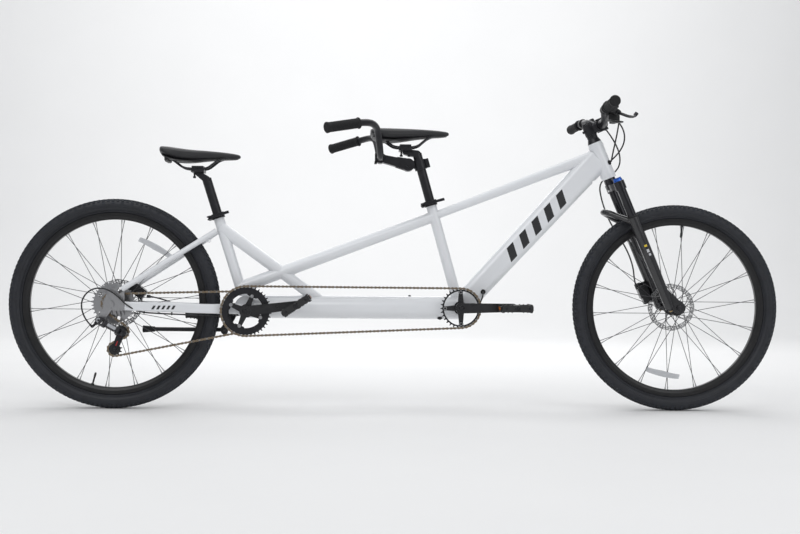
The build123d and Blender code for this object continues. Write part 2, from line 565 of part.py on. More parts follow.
with BuildPart() as stoker_stem_arm:
    for side in (1, -1):
        yrod(ST_PIVOT[0], ST_PIVOT[1], side * 11.7, side * 17.5, 21.0)
        hull_prism([(ST_PIVOT[0], ST_PIVOT[1], 20), (ST_PIVOT[0] - 34, ST_PIVOT[1] + 8, 17)], side * 11.7, side * 17.5)
    hull_prism([(ST_PIVOT[0] - 40, ST_PIVOT[1] + 9, 15), (ST_BAR[0] + 8, ST_BAR[1] - 2, 13)], -17.5, 17.5)
    yrod(ST_BAR[0], ST_BAR[1], -21, 21, 17.5)
    yrod(ST_BAR[0], ST_BAR[1], -23, 23, 12.74, mode=Mode.SUBTRACT)
    yrod(ST_PIVOT[0], ST_PIVOT[1], -11.7, 11.7, 22.0, mode=Mode.SUBTRACT)
    # pivot bolt, fixed in the arm's two cheeks
    yrod(ST_PIVOT[0], ST_PIVOT[1], -20.5, 20.5, 5.0)
    yrod(ST_PIVOT[0], ST_PIVOT[1], -21.5, -17.4, 8.5)
    yrod(ST_PIVOT[0], ST_PIVOT[1], 17.4, 21.5, 8.5)
    # gap line of the bar clamp and its two bolts
    with Locations(Location((ST_BAR[0] - 13, 0, ST_BAR[1]))):
        Box(16, 60, 2.0, mode=Mode.SUBTRACT)
    for y in (-14, 14):
        rod((ST_BAR[0] - 15.8, y, ST_BAR[1] - 16), (ST_BAR[0] - 15.8, y, ST_BAR[1] + 16), 2.5)
        rod((ST_BAR[0] - 15.8, y, ST_BAR[1] - 18), (ST_BAR[0] - 15.8, y, ST_BAR[1] - 12), 4.2)
write(stoker_stem_arm.part, "stoker_stem_arm")

sb_mid = [(-61.2, 0, 832), (-61.2, 38, 832)]
sb_half = [(-61.2, 0.0, 832), (-61.2, 48, 832.5), (-66, 104, 868), (-74, 146, 913), (-84, 180, 924.5), (-118, 226, 920.5), (-163, 254, 910), (-230, 293, 894)]
with BuildPart() as stoker_bar:
    whole = [(p[0], -p[1], p[2]) for p in sb_half[:0:-1]] + [(p[0], p[1], p[2]) for p in sb_half[1:]]
    tube_path(whole, 11.1, name="stoker bar")
    yrod(-61.2, 832.0, -26, 26, 12.7)
    # grips, pushed on over the bar's ends
    for side in (1, -1):
        a, b = Vector(-136, side * 237.3, 916.3), Vector(-232, side * 294.2, 893.6)
        d = (b - a).normalized()
        rod(a, b + d * 3, 16.0)
        rod(a, a + d * 5, 18.0)
        rod(b - d * 3, b + d * 3, 17.6)
write(stoker_bar.part, "stoker_bar")

# ================================================================ fork, steerer
CROWN_Z = -168.0
with BuildPart() as fork_upper:
    rod(fl(0, 0, -155), fl(0, 0, 70), STEERER_R)
    rod(fl(0, 0, -160), fl(0, 0, 60), 11.5, mode=Mode.SUBTRACT)
    # forged crown: a hub under the lower headset cup, two arms, two leg clamps
    rod(fl(0, 0, -155), fl(0, 0, -HEAD_LEN - 10.4), 21.0, 19.5)
    for side in (1, -1):
        rod(fl(LEG_X, side * LEG_Y, CROWN_Z), fl(LEG_X, side * LEG_Y, -139), 18.5)
        with BuildSketch(Plane(origin=fl(0, 0, -140), x_dir=(sa, 0, ca), z_dir=(-ca, 0, sa))) as s:
            with BuildLine():
                Polyline((-17, 0), (-13, side * 30), (-6, side * 48), (-3, side * 60), (25, side * 60), (25, side * 42), (19, side * 22), (19, 0), close=True)
            make_face()
        extrude(s.sketch, amount=-22)
        # hard-chromed stanchions, pressed up into the clamps
        rod(fl(LEG_X, side * LEG_Y, -400), fl(LEG_X, side * LEG_Y, -150), STANCHION_R)
        rod(fl(LEG_X, side * LEG_Y, -401), fl(LEG_X, side * LEG_Y, -175), 12.6, mode=Mode.SUBTRACT)
    # left leg's plain top cap; the right leg carries the lock-out spindle
    rod(fl(LEG_X, LEG_Y, -139), fl(LEG_X, LEG_Y, -133), 14.0)
    rod(fl(LEG_X, -LEG_Y, -139.5), fl(LEG_X, -LEG_Y, -134), 4.0)
    rod(fl(0, 0, -165), fl(0, 0, -119), 11.5, mode=Mode.SUBTRACT)
write(fork_upper.part, "fork_upper")

with BuildPart() as fork_knob:
    rod(fl(LEG_X, -LEG_Y, -138.6), fl(LEG_X, -LEG_Y, -131), 15.5, 14.0)
    with BuildSketch(Plane(origin=fl(LEG_X, -LEG_Y, -131.2), x_dir=(sa, 0, ca), z_dir=(-ca, 0, sa))) as s:
        RectangleRounded(26, 7, 3)
    extrude(s.sketch, amount=4.5)
    rod(fl(LEG_X, -LEG_Y, -140), fl(LEG_X, -LEG_Y, -133.9), 4.05, mode=Mode.SUBTRACT)
write(fork_knob.part, "fork_knob")

LOW_TOP = -268.0
with BuildPart() as fork_lowers:
    for side in (1, -1):
        rod(fl(LEG_X, side * LEG_Y, LOW_TOP - 14), fl(LEG_X, side * LEG_Y, LOW_TOP), 18.6)
        rod(fl(LEG_X, side * LEG_Y, -430), fl(LEG_X, side * LEG_Y, LOW_TOP), 17.8)
        rod(fl(LEG_X, side * LEG_Y, -592), fl(LEG_X, side * LEG_Y, -430), 15.2, 17.8)
        # dropout: a boss ahead of the leg, joined to it by a web
        ax = (AXLE_F[0], AXLE_F[1])
        hull_prism([(fl(LEG_X, 0, -586).X, fl(LEG_X, 0, -586).Z, 11), (ax[0], ax[1], 20)], side * (DROPOUT_F), side * (DROPOUT_F + 12))
        # forward web of the leg, thinning upward
        hull_prism([(fl(LEG_X, 0, -560).X, fl(LEG_X, 0, -560).Z, 10), (ax[0] - 4, ax[1] + 6, 14), (fl(LEG_X + 6, 0, -520).X, fl(LEG_X + 6, 0, -520).Z, 6)], side * (DROPOUT_F + 2), side * (DROPOUT_F + 11))
        rod(fl(LEG_X, side * LEG_Y, -600), fl(LEG_X, side * LEG_Y, -590), 7.0)
    # bracing arch behind the legs, rising to a crest over the tyre
    arch = [(LEG_X - 6, -LEG_Y, -281), (-22, -46, -256), (-50, -26, -226), (-64, 0, -214), (-50, 26, -226), (-22, 46, -256), (LEG_X - 6, LEG_Y, -281)]
    pts = [fl(*p) for p in arch]
    with BuildLine() as al:
        FilletPolyline(*pts, radius=auto_radii([tuple(p) for p in pts]))
    with BuildSketch(Plane(origin=al.line @ 0, z_dir=al.line % 0)) as asec:
        Circle(10.2)
    sweep(asec.sketch, path=al.line)
    # caliper mount on the left leg
    with Locations(FK.location * Location((-14, 58, -525))):
        Box(20, 9, 74)
    for side in (1, -1):
        rod(fl(LEG_X, side * LEG_Y, -530), fl(LEG_X, side * LEG_Y, LOW_TOP + 70), STANCHION_R + 0.05, mode=Mode.SUBTRACT)
    # axle, fixed between the two bosses, with its end nuts
    yrod(AXLE_F[0], AXLE_F[1], -80, 80, 5.05, mode=Mode.SUBTRACT)
    yrod(AXLE_F[0], AXLE_F[1], -73, 73, 5.0)
    for side in (1, -1):
        yrod(AXLE_F[0], AXLE_F[1], side * (DROPOUT_F + 12.03), side * (DROPOUT_F + 18), 10.0)
        yrod(AXLE_F[0], AXLE_F[1], side * 45, side * (DROPOUT_F - 0.03), 8.5)
write(fork_lowers.part, "fork_lowers")


def caliper(pl, pad_gap, rotor_y):
    """Two-half hydraulic caliper straddling a rotor; local x along the body."""
    with Locations(pl.location * Location((0, 0, 0))):
        Box(48, 30, 26)
    with Locations(pl.location * Location((14, 5, 9))):
        Box(30, 34, 16)
    with Locations(pl.location * Location((0, 0, -9))):
        Box(60, 3.4, 26, mode=Mode.SUBTRACT)


ROTOR_F_Y = 38.5
ROTOR_R_Y = 52.0
cf = fl(-33, ROTOR_F_Y, -528)
with BuildPart() as front_caliper:
    # body across the disc, behind the left leg
    with Locations(FK.location * Location((-26, 41.1, -525))):
        Box(30, 24.0, 58)
    with Locations(FK.location * Location((-32, 40.2, -520))):
        Box(26, 25.4, 34)
    # mounting lugs that reach to the leg's post mount
    for z in (-492, -557):
        rod(fl(-24.2, 58, z), fl(-34, 58, z), 6.5)
        rod(fl(-34, 58, z), fl(-38, 58, z), 4.5)
    with Locations(FK.location * Location((-29, 57, -525))):
        Box(9, 9, 66)
    # slot for the disc
    yrod(AXLE_F[0], AXLE_F[1], ROTOR_F_Y - 1.8, ROTOR_F_Y + 1.8, ROTOR_R + 1.5, mode=Mode.SUBTRACT)
    # banjo for the hose
    rod(fl(-40, ROTOR_F_Y + 13, -505), fl(-40, ROTOR_F_Y + 13, -486), 5.6)
write(front_caliper.part, "front_caliper")

with BuildPart() as rear_caliper:
    a = math.radians(55)
    cx, cz = AXLE_R[0] + 86 * math.cos(a), AXLE_R[1] + 86 * math.sin(a)
    base = Plane(origin=(-866, ROTOR_R_Y + 2, 386), x_dir=(math.cos(math.radians(-38)), 0, math.sin(math.radians(-38))), z_dir=(math.sin(math.radians(38)), 0, math.cos(math.radians(38))))
    with Locations(base.location):
        Box(58, 25, 34)
    with Locations(base.location * Location((4, 0, 7))):
        Box(34, 31, 22)
    yrod(AXLE_R[0], AXLE_R[1], ROTOR_R_Y - 1.8, ROTOR_R_Y + 1.8, ROTOR_R + 1.5, mode=Mode.SUBTRACT)
    # bracket from the body to the tab on the left dropout
    poly_prism([(-893, 411), (-893, 397), (-880, 397), (-868, 402), (-868, 411)], ROTOR_R_Y + 8, DROPOUT_R - 0.03)
    add(dropouts.part, mode=Mode.SUBTRACT)
    # clear of the seat stay and chainstay tubes
    tube_path([(p[0], p[1], p[2]) for p in ss_line], 9.6, mode=Mode.SUBTRACT)
    rod((-838, ROTOR_R_Y + 12, 366), (-826, ROTOR_R_Y + 12, 366), 5.5)
write(rear_caliper.part, "rear_caliper")

# ================================================================== stem and bar
BAR_X, BAR_Z = 41.2, 57.5
with BuildPart() as stem:
    rod(fl(0, 0, 36), fl(0, 0, 74), 19.5)
    # body from the steerer clamp to the bar clamp
    with BuildSketch(Plane(origin=fl(8, 0, 55), x_dir=(0, 1, 0), z_dir=FK.x_dir)) as s0:
        RectangleRounded(34, 34, 9)
    with BuildSketch(Plane(origin=fl(32, 0, 57), x_dir=(0, 1, 0), z_dir=FK.x_dir)) as s1:
        RectangleRounded(46, 36, 8)
    loft()
    rod(fl(BAR_X, -24, BAR_Z), fl(BAR_X, 24, BAR_Z), 20.0)
    # tapered dust cover and spacer between the headset and the stem
    rod(fl(0, 0, 9.4), fl(0, 0, 24), 23.5, 18.0)
    rod(fl(0, 0, 24.3), fl(0, 0, 35.7), 17.6)
    # top cap
    rod(fl(0, 0, 74.3), fl(0, 0, 79), 17.5, 16.0)
    rod(fl(0, 0, 60), fl(0, 0, 82), 3.0)
    rod(fl(0, 0, 5), fl(0, 0, 74.1), STEERER_R + 0.02, mode=Mode.SUBTRACT)
    rod(fl(0, 0, 59), fl(0, 0, 72), 12, mode=Mode.SUBTRACT)
    rod(fl(0, 0, 71), fl(0, 0, 75), 3.0)
    rod(fl(BAR_X, -30, BAR_Z), fl(BAR_X, 30, BAR_Z), 15.92, mode=Mode.SUBTRACT)
    # faceplate is split from the body in front of the bar's centre
    with Locations(FK.location * Location((BAR_X + 3, 0, BAR_Z))):
        Box(1.6, 60, 60, mode=Mode.SUBTRACT)
    for y in (-16, 16):
        for z in (-19.4, 19.4):
            rod(fl(BAR_X - 14, y, BAR_Z + z), fl(BAR_X + 13, y, BAR_Z + z), 2.5)
            rod(fl(BAR_X + 11, y, BAR_Z + z), fl(BAR_X + 15, y, BAR_Z + z), 4.2)
write(stem.part, "stem")

hb_half = [(BAR_X, 58, BAR_Z), (39, 92, 71), (35.5, 128, 86), (32.5, 164, 91.5), (28.5, 240, 93.5), (22.7, 344, 95.3)]
with BuildPart() as handlebar:
    tube_path([tuple(fl(p[0], -p[1], p[2])) for p in hb_half[::-1]] + [tuple(fl(*p)) for p in hb_half], 11.1, name="handlebar")
    rod(fl(BAR_X, -30, BAR_Z), fl(BAR_X, 30, BAR_Z), 15.88)
    for side in (1, -1):
        rod(fl(BAR_X, side * 30, BAR_Z), fl(BAR_X, side * 52, BAR_Z), 15.88, 11.2)
        a = fl(28.9, side * 226, 93.2)
        b = fl(22.9, side * 345, 95.2)
        d = (b - a).normalized()
        rod(a, b, 15.8)
        rod(a - d * 3, a + d * 4, 18.5)
        rod(b - d * 6, b + d * 1.5, 17.5)
write(handlebar.part, "handlebar")

# -------------------------------------------------- lever bodies and shifter pod
LV_PIV = (58.0, 190.0, 66.0)
LV_AX = (0.877, 0.0, 0.480)          # lever pivot direction in the steering frame


def lv_plane(side):
    """x outboard along the bar, y from the bar to the lever, z along the pivot pin."""
    o = fl(LV_PIV[0], side * LV_PIV[1], LV_PIV[2])
    xd = Vector(0, side, 0)
    zd = fl(*LV_AX) - fl(0, 0, 0)
    return Plane(origin=o, x_dir=xd, z_dir=zd)


with BuildPart() as control_pods:
    for side in (1, -1):
        # hinged band round the bar
        rod(fl(31.4, side * 176, 91.9), fl(30.8, side * 190, 92.2), 16.0)
        # master cylinder, lying along the bar in front of it
        rod(fl(50, side * 128, 76), fl(49, side * 205, 80), 9.5)
        rod(fl(50, side * 120, 75.6), fl(50, side * 130, 76.1), 6.0)
        hull = [fl(33, side * 183, 91), fl(50, side * 183, 79)]
        rod(hull[0], hull[1], 8.5)
        # reservoir lid on top of the cylinder
        with Locations(FK.location * Location((52, side * 160, 88))):
            Box(22, 48, 8)
        # the two ears that hold the lever's pivot
        pl = lv_plane(side)
        zz = pl.z_dir
        for w0, w1 in ((5.3, 9.3), (-9.3, -5.3)):
            c = Vector(pl.origin)
            rod(c + zz * w0, c + zz * w1, 8.0)
            p0 = fl(50, side * 190, 78)
            with Locations(Plane(origin=(c + p0) * 0.5 + zz * ((w0 + w1) / 2), x_dir=(p0 - c), z_dir=zz).location):
                Box((p0 - c).length, 13, 4)
        rod(Vector(pl.origin) - zz * 10, Vector(pl.origin) + zz * 10, 2.5)
        # straight and clear through for the bar
        tube_path([tuple(fl(p[0], side * p[1], p[2])) for p in hb_half], 11.14, mode=Mode.SUBTRACT)
    # shifter pod on the right, inboard of the brake and below the bar
    rod(fl(33.5, -150, 90.4), fl(32.9, -162, 91.3), 15.6)
    with Locations(FK.location * Location((47, -152, 58), (0, 28, 0))):
        Box(34, 44, 20)
    rod(fl(40, -156, 80), fl(44, -156, 64), 9.0)
    with Locations(FK.location * Location((63, -176, 88), (0, 20, 0))):
        Box(16, 30, 12)
    with Locations(FK.location * Location((58, -168, 74), (0, 20, 0))):
        Box(10, 26, 26)
    tube_path([tuple(fl(p[0], -p[1], p[2])) for p in hb_half], 11.14, mode=Mode.SUBTRACT)
    for side in (1, -1):
        pl = lv_plane(side)
        # room for the lever's hub between the ears
        with Locations(pl.location):
            Cylinder(11.5, 10.6, mode=Mode.SUBTRACT)
        rod(Vector(pl.origin) - pl.z_dir * 6, Vector(pl.origin) + pl.z_dir * 6, 2.5)
write(control_pods.part, "control_pods")


def lever_solid(side):
    pl = lv_plane(side)
    sg = 1 if (pl.y_dir.dot(fl(1, 0, 0) - fl(0, 0, 0))) > 0 else -1
    with BuildPart() as lv:
        with Locations(pl.location):
            Cylinder(8.0, 9.8)
        blade = [(0, 0), (22, 12), (48, 30), (78, 38), (108, 40), (124, 36)]
        pts = [tuple(pl.from_local_coords(Vector(x, sg * y, 0))) for x, y in blade]
        with BuildLine() as bl:
            FilletPolyline(*pts, radius=auto_radii(pts))
        tang = bl.line % 0
        with BuildSketch(Plane(origin=bl.line @ 0, x_dir=pl.z_dir, z_dir=tang)) as bs:
            RectangleRounded(9.0, 7.0, 2.6)
        sweep(bs.sketch, path=bl.line)
        with Locations(Plane(origin=pts[-1], x_dir=pl.x_dir, z_dir=pl.z_dir).location):
            Cylinder(6.0, 10.0)
        with Locations(pl.location):
            Cylinder(2.55, 20, mode=Mode.SUBTRACT)
    return lv.part


with BuildPart() as left_brake_lever:
    add(lever_solid(1))
write(left_brake_lever.part, "left_brake_lever")
with BuildPart() as right_brake_lever:
    add(lever_solid(-1))
write(right_brake_lever.part, "right_brake_lever")

SHIFT_PIV = fl(36, -152, 42)
SHIFT_AX = fl(0.469, 0, 0.883) - fl(0, 0, 0)
with BuildPart() as shift_lever:
    # thumb lever under the pod, turning on a stub that hangs from it
    shpl = Plane(origin=fl(41, -152, 46), x_dir=(0, -1, 0), z_dir=SHIFT_AX)
    with Locations(shpl.location):
        Cylinder(9.0, 5.0, align=(Align.CENTER, Align.CENTER, Align.MAX))
    with BuildSketch(shpl.offset(-5)) as s:
        with BuildLine():
            Polyline((-4, 8), (14, 10), (34, 24), (46, 26), (50, 18), (44, 10), (24, -4), (4, -8), close=True)
        make_face()
    extrude(s.sketch, amount=4)
write(shift_lever.part, "shift_lever")

# ======================================================================= wheels


def wheel_parts(ax, flange_l, flange_r, fl_r):
    """Tyre, rim and spokes of one wheel, round the Y axis through ax."""
    loc = Location((ax[0], 0, ax[1]))
    with BuildPart() as tyre:
        with BuildSketch(Plane.XY) as s:
            with BuildLine():
                Spline((298.4, -13), (310, -24.0), (325, -27.5), (337, -22), (343.9, -6), (343.9, 6), (337, 22), (325, 27.5), (310, 24.0), (298.4, 13))
                Polyline((298.4, 13), (298.0, 10.5), (RIM_BEAD_R + 1, 10.5), (RIM_BEAD_R + 1, 6.5), (302, 8), (312, 20), (324, 23.5), (333, 20), (339, 8), (339, -8), (333, -20), (324, -23.5), (312, -20), (302, -8), (RIM_BEAD_R + 1, -6.5), (RIM_BEAD_R + 1, -10.5), (298.0, -10.5), (298.4, -13))
            make_face()
        revolve(s.sketch, axis=Axis.Y)
    with BuildPart() as rim:
        with BuildSketch(Plane.XY) as s:
            with BuildLine():
                Polyline((RIM_IN_R, -7), (RIM_IN_R, 7), (RIM_IN_R + 3, 10), (286, 13.4), (RIM_OUT_R, 14), (RIM_OUT_R, 10.8), (RIM_BEAD_R + 0.9, 10.8), (RIM_BEAD_R - 2, 4), (RIM_BEAD_R - 2, -4), (RIM_BEAD_R + 0.9, -10.8), (RIM_OUT_R, -10.8), (RIM_OUT_R, -14), (286, -13.4), (RIM_IN_R + 3, -10), close=True)
            make_face()
            with BuildLine():
                Polyline((RIM_IN_R + 2.6, -6), (RIM_IN_R + 2.6, 6), (285, 11.2), (288, 8), (RIM_BEAD_R - 4, 3), (RIM_BEAD_R - 4, -3), (288, -8), (285, -11.2), close=True)
            make_face(mode=Mode.SUBTRACT)
        revolve(s.sketch, axis=Axis.Y)
        # valve, standing in from the rim
        rod((0, 0, RIM_IN_R + 1), (0, 0, RIM_IN_R - 34), 3.0)
    with BuildPart() as spokes:
        n = SPOKES // 4
        for k in range(n):
            for side, yf in ((1, flange_l), (-1, flange_r)):
                for lead in (1, -1):
                    hole = 2 * math.pi * (k + (0.5 if side < 0 else 0.0) + (0.25 if lead < 0 else 0.0)) / n
                    cross = lead * math.radians(66)
                    rim_a = 2 * math.pi * (k + (0.5 if side < 0 else 0.0) + (0.25 if lead < 0 else 0.0)) / n + cross
                    yh = yf + lead * 2.1
                    hx, hz = fl_r * math.cos(hole), fl_r * math.sin(hole)
                    rx, rz = (RIM_IN_R - 0.6) * math.cos(rim_a), (RIM_IN_R - 0.6) * math.sin(rim_a)
                    hx, hz = hx + (rx - hx) * 0.004, hz + (rz - hz) * 0.004
                    rod((hx, yh, hz), (rx, side * 3.2 + lead * 1.5, rz), SPOKE_R)
    return tyre.part.moved(loc), rim.part, spokes.part.moved(loc), loc


def rotor_disc(ax, y):
    """Slotted brake disc with a wavy outer edge and a six-arm carrier."""
    n = 12
    outline = []
    for i in range(n * 10):
        a = 2 * math.pi * i / (n * 10)
        outline.append(((ROTOR_R - 1.2 + 1.2 * math.cos(n * a)) * math.cos(a), (ROTOR_R - 1.2 + 1.2 * math.cos(n * a)) * math.sin(a)))
    with BuildSketch(Plane(origin=(ax[0], y + 0.9, ax[1]), x_dir=(1, 0, 0), z_dir=(0, -1, 0))) as s:
        with BuildLine():
            Polyline(*outline, close=True)
        make_face()
        Circle(63, mode=Mode.SUBTRACT)
        with PolarLocations(43, 6):
            Rectangle(46, 7)
        Circle(25)
        Circle(15, mode=Mode.SUBTRACT)
    extrude(s.sketch, amount=1.8)


f_tyre, f_rim, f_spokes, f_loc = wheel_parts(AXLE_F, 31.0, -31.0, 22.0)
r_tyre, r_rim, r_spokes, r_loc = wheel_parts(AXLE_R, 33.0, -17.5, 22.5)
with BuildPart() as front_tyre:
    add(f_tyre)
write(front_tyre.part, "front_tyre")
with BuildPart() as rear_tyre:
    add(r_tyre)
write(rear_tyre.part, "rear_tyre")
F_VALVE_DEG = 81.0 - 90.0
R_VALVE_DEG = -106.0 - 90.0
with BuildPart() as front_rim:
    add(f_rim.moved(f_loc * Location((0, 0, 0), (0, -10.0 * round(F_VALVE_DEG / 10.0) - 5.0, 0))))
write(front_rim.part, "front_rim")
with BuildPart() as rear_rim:
    add(r_rim.moved(r_loc * Location((0, 0, 0), (0, -10.0 * round(R_VALVE_DEG / 10.0) - 5.0, 0))))
write(rear_rim.part, "rear_rim")
with BuildPart() as front_spokes:
    add(f_spokes)
write(front_spokes.part, "front_spokes")
with BuildPart() as rear_spokes:
    add(r_spokes)
write(rear_spokes.part, "rear_spokes")

with BuildPart() as front_hub:
    with Locations(f_loc):
        rod((0, -44, 0), (0, 44, 0), 12.0)
        rod((0, -34, 0), (0, 34, 0), 14.0)
        rod((0, 29.2, 0), (0, 32.8, 0), 26.0)
        rod((0, -32.8, 0), (0, -29.2, 0), 26.0)
        rod((0, 33, 0), (0, ROTOR_F_Y - 0.9, 0), 24.0)
        rod((0, -60, 0), (0, 60, 0), 5.05, mode=Mode.SUBTRACT)
    rotor_disc(AXLE_F, ROTOR_F_Y)
write(front_hub.part, "front_hub")
with BuildPart() as rear_hub:
    with Locations(r_loc):
        rod((0, -21, 0), (0, 60.5, 0), 12.0)
        rod((0, -20, 0), (0, 36, 0), 17.0)
        rod((0, 31.2, 0), (0, 34.8, 0), 27.0)
        rod((0, -19.3, 0), (0, -15.7, 0), 27.0)
        rod((0, 35, 0), (0, ROTOR_R_Y - 0.9, 0), 24.0)
        rod((0, -62, 0), (0, 62, 0), 5.05, mode=Mode.SUBTRACT)
    rotor_disc(AXLE_R, ROTOR_R_Y)
write(rear_hub.part, "rear_hub")

with BuildPart() as cassette:
    x, z = AXLE_R
    yrod(x, z, -60.5, -21.6, 14.0)
    for teeth, y in COGS:
        poly_prism(sprocket_points(teeth, x, z, phase=math.pi / 2), y - 0.8, y + 0.8)
        if teeth == 34:
            for k in range(5):
                a = 2 * math.pi * k / 5
                yrod(x + 47 * math.cos(a), z + 47 * math.sin(a), y - 3, y + 3, 10.5, mode=Mode.SUBTRACT)
    yrod(x, z, -70, -10, 5.05, mode=Mode.SUBTRACT)
write(cassette.part, "cassette")

# ==================================================================== cranksets


def ring_solid(teeth, y, bcd=52.0):
    with BuildPart() as ring:
        poly_prism(sprocket_points(teeth, 0, 0, phase=math.pi / 2), y - 1.0, y + 1.0)
        yrod(0, 0, y - 3, y + 3, 0.5 * PITCH / math.sin(math.pi / teeth) - (22 if teeth > 34 else 9), mode=Mode.SUBTRACT)
        for k in range(4):
            a = math.pi / 4 + math.pi / 2 * k
            yrod(bcd * math.cos(a), bcd * math.sin(a), y - 1.0, y + 1.0, 7.5)
            if teeth > 34:
                poly_prism([(bcd * math.cos(a + 0.30), bcd * math.sin(a + 0.30)), ((bcd + 12) * math.cos(a + 0.34), (bcd + 12) * math.sin(a + 0.34)), ((bcd + 12) * math.cos(a - 0.34), (bcd + 12) * math.sin(a - 0.34)), (bcd * math.cos(a - 0.30), bcd * math.sin(a - 0.30))], y - 1.0, y + 1.0)
            yrod(bcd * math.cos(a), bcd * math.sin(a), y - 3, y + 3, 4.05, mode=Mode.SUBTRACT)
    return ring.part


def crank_solid(spider_deg, spider_y, bolts_from, bolts_to):
    """Right arm with a four-arm spider, left arm and spindle; right arm along +X."""
    with BuildPart() as ck:
        yrod(0, 0, -80, 80, 8.5)
        # each arm is a tapering bar from its boss to the pedal eye
        for side in (1, -1):
            s = -side
            yrod(0, 0, s * 66.6, s * 81.5, 18.8)
            hull_prism([(side * 2, 0, 16.6), (side * CRANK_LEN, 0, 13.5)], s * 67.4, s * 79.4)
            yrod(0, 0, s * 81, s * 83.6, 10.0)
        yrod(0, 0, -67, spider_y - 1.5, 17.6)
        yrod(0, 0, spider_y - 4, -44.6, 15.0)
        yrod(0, 0, 67, 44.6, 15.0)
        for k in range(4):
            a = math.radians(spider_deg) + math.pi / 2 * k
            hull_prism([(11 * math.cos(a), 11 * math.sin(a), 10.5), (52 * math.cos(a), 52 * math.sin(a), 6.2)], spider_y - 2.0, spider_y + 2.0)
            yrod(52 * math.cos(a), 52 * math.sin(a), bolts_from, bolts_to, 4.0)
            yrod(52 * math.cos(a), 52 * math.sin(a), bolts_from - 1.6, bolts_from, 6.0)
            yrod(52 * math.cos(a), 52 * math.sin(a), bolts_to, bolts_to + 1.4, 6.0)
        for side in (1, -1):
            yrod(side * CRANK_LEN, 0, -side * 60, -side * 90, 7.05, mode=Mode.SUBTRACT)
    return ck.part


FRONT_LOC = Location((BB_F[0], 0, BB_F[1]), (0, -FRONT_CRANK_DEG, 0))
REAR_LOC = Location((BB_R[0], 0, BB_R[1]), (0, -REAR_CRANK_DEG, 0))
SPIDER_F = 0.0
SPIDER_R = 60.0
fc = crank_solid(SPIDER_F, -57.0, -61.04, -58.0)
rc = crank_solid(SPIDER_R, -56.0, -61.04, -50.96)
with BuildPart() as front_crankset:
    add(fc.moved(FRONT_LOC))
write(front_crankset.part, "front_crankset")
with BuildPart() as rear_crankset:
    add(rc.moved(REAR_LOC))
write(rear_crankset.part, "rear_crankset")
with BuildPart() as front_timing_ring:
    add(ring_solid(T_TIMING_F, Y_TIMING).moved(Location((BB_F[0], 0, BB_F[1]), (0, -FRONT_CRANK_DEG - SPIDER_F + 45.0, 0))))
write(front_timing_ring.part, "front_timing_ring")
with BuildPart() as rear_chainrings:
    add(ring_solid(T_TIMING_R, Y_TIMING).moved(Location((BB_R[0], 0, BB_R[1]), (0, -REAR_CRANK_DEG - SPIDER_R + 45.0, 0))))
    add(ring_solid(T_DRIVE, Y_DRIVE).moved(Location((BB_R[0], 0, BB_R[1]), (0, -REAR_CRANK_DEG - SPIDER_R + 45.0, 0))))
write(rear_chainrings.part, "rear_chainrings")


def crank_end(bb, deg, side):
    a = math.radians(deg)
    s = 1 if side < 0 else -1          # the right arm points along +X
    return (bb[0] + s * CRANK_LEN * math.cos(a), bb[1] + s * CRANK_LEN * math.sin(a))


def pedal_solid():
    """Platform pedal for the right side at the origin; outboard is -Y."""
    with BuildPart() as pd:
        # spindle with its flange against the crank
        yrod(0, 0, -62, 13, 6.95)
        yrod(0, 0, -8, -0.3, 9.5)
        # moulded body: two cages joined by end bars and a centre barrel
        with Locations(Location((0, -57, 0))):
            Box(96, 96, 22)
        for sx in (1, -1):
            with Locations(Location((sx * 27, -57, 0))):
                Box(30, 74, 30, mode=Mode.SUBTRACT)
        yrod(0, 0, -96, -12, 10.0)
        # amber reflector blocks in the front and rear bars
        for sx in (1, -1):
            with Locations(Location((sx * 49.6, -57, 0))):
                Box(4.0, 54, 12)
    return pd.part


pedal_blank = pedal_solid()


def place_pedal(bb, deg, side, tilt):
    x, z = crank_end(bb, deg, side)
    loc = Location((x, side * 80.0, z), (0, -tilt, 0))
    return (pedal_blank if side < 0 else pedal_blank.mirror(Plane.XZ)).moved(loc)


with BuildPart() as front_right_pedal:
    add(place_pedal(BB_F, FRONT_CRANK_DEG, -1, 0.0))
write(front_right_pedal.part, "front_right_pedal")
with BuildPart() as front_left_pedal:
    add(place_pedal(BB_F, FRONT_CRANK_DEG, 1, 4.0))
write(front_left_pedal.part, "front_left_pedal")
with BuildPart() as rear_right_pedal:
    add(place_pedal(BB_R, REAR_CRANK_DEG, -1, 33.0))
write(rear_right_pedal.part, "rear_right_pedal")
with BuildPart() as rear_left_pedal:
    add(place_pedal(BB_R, REAR_CRANK_DEG, 1, -6.0))
write(rear_left_pedal.part, "rear_left_pedal")

# =================================================================== derailleur
B_KNUCKLE = (-961.9, 292.3)
P_KNUCKLE = (-896.0, 254.0)
LINK_Y0, LINK_Y1 = -84.0, -66.0
link_dir = Vector(P_KNUCKLE[0] - B_KNUCKLE[0], LINK_Y1 - LINK_Y0, P_KNUCKLE[1] - B_KNUCKLE[1]).normalized()
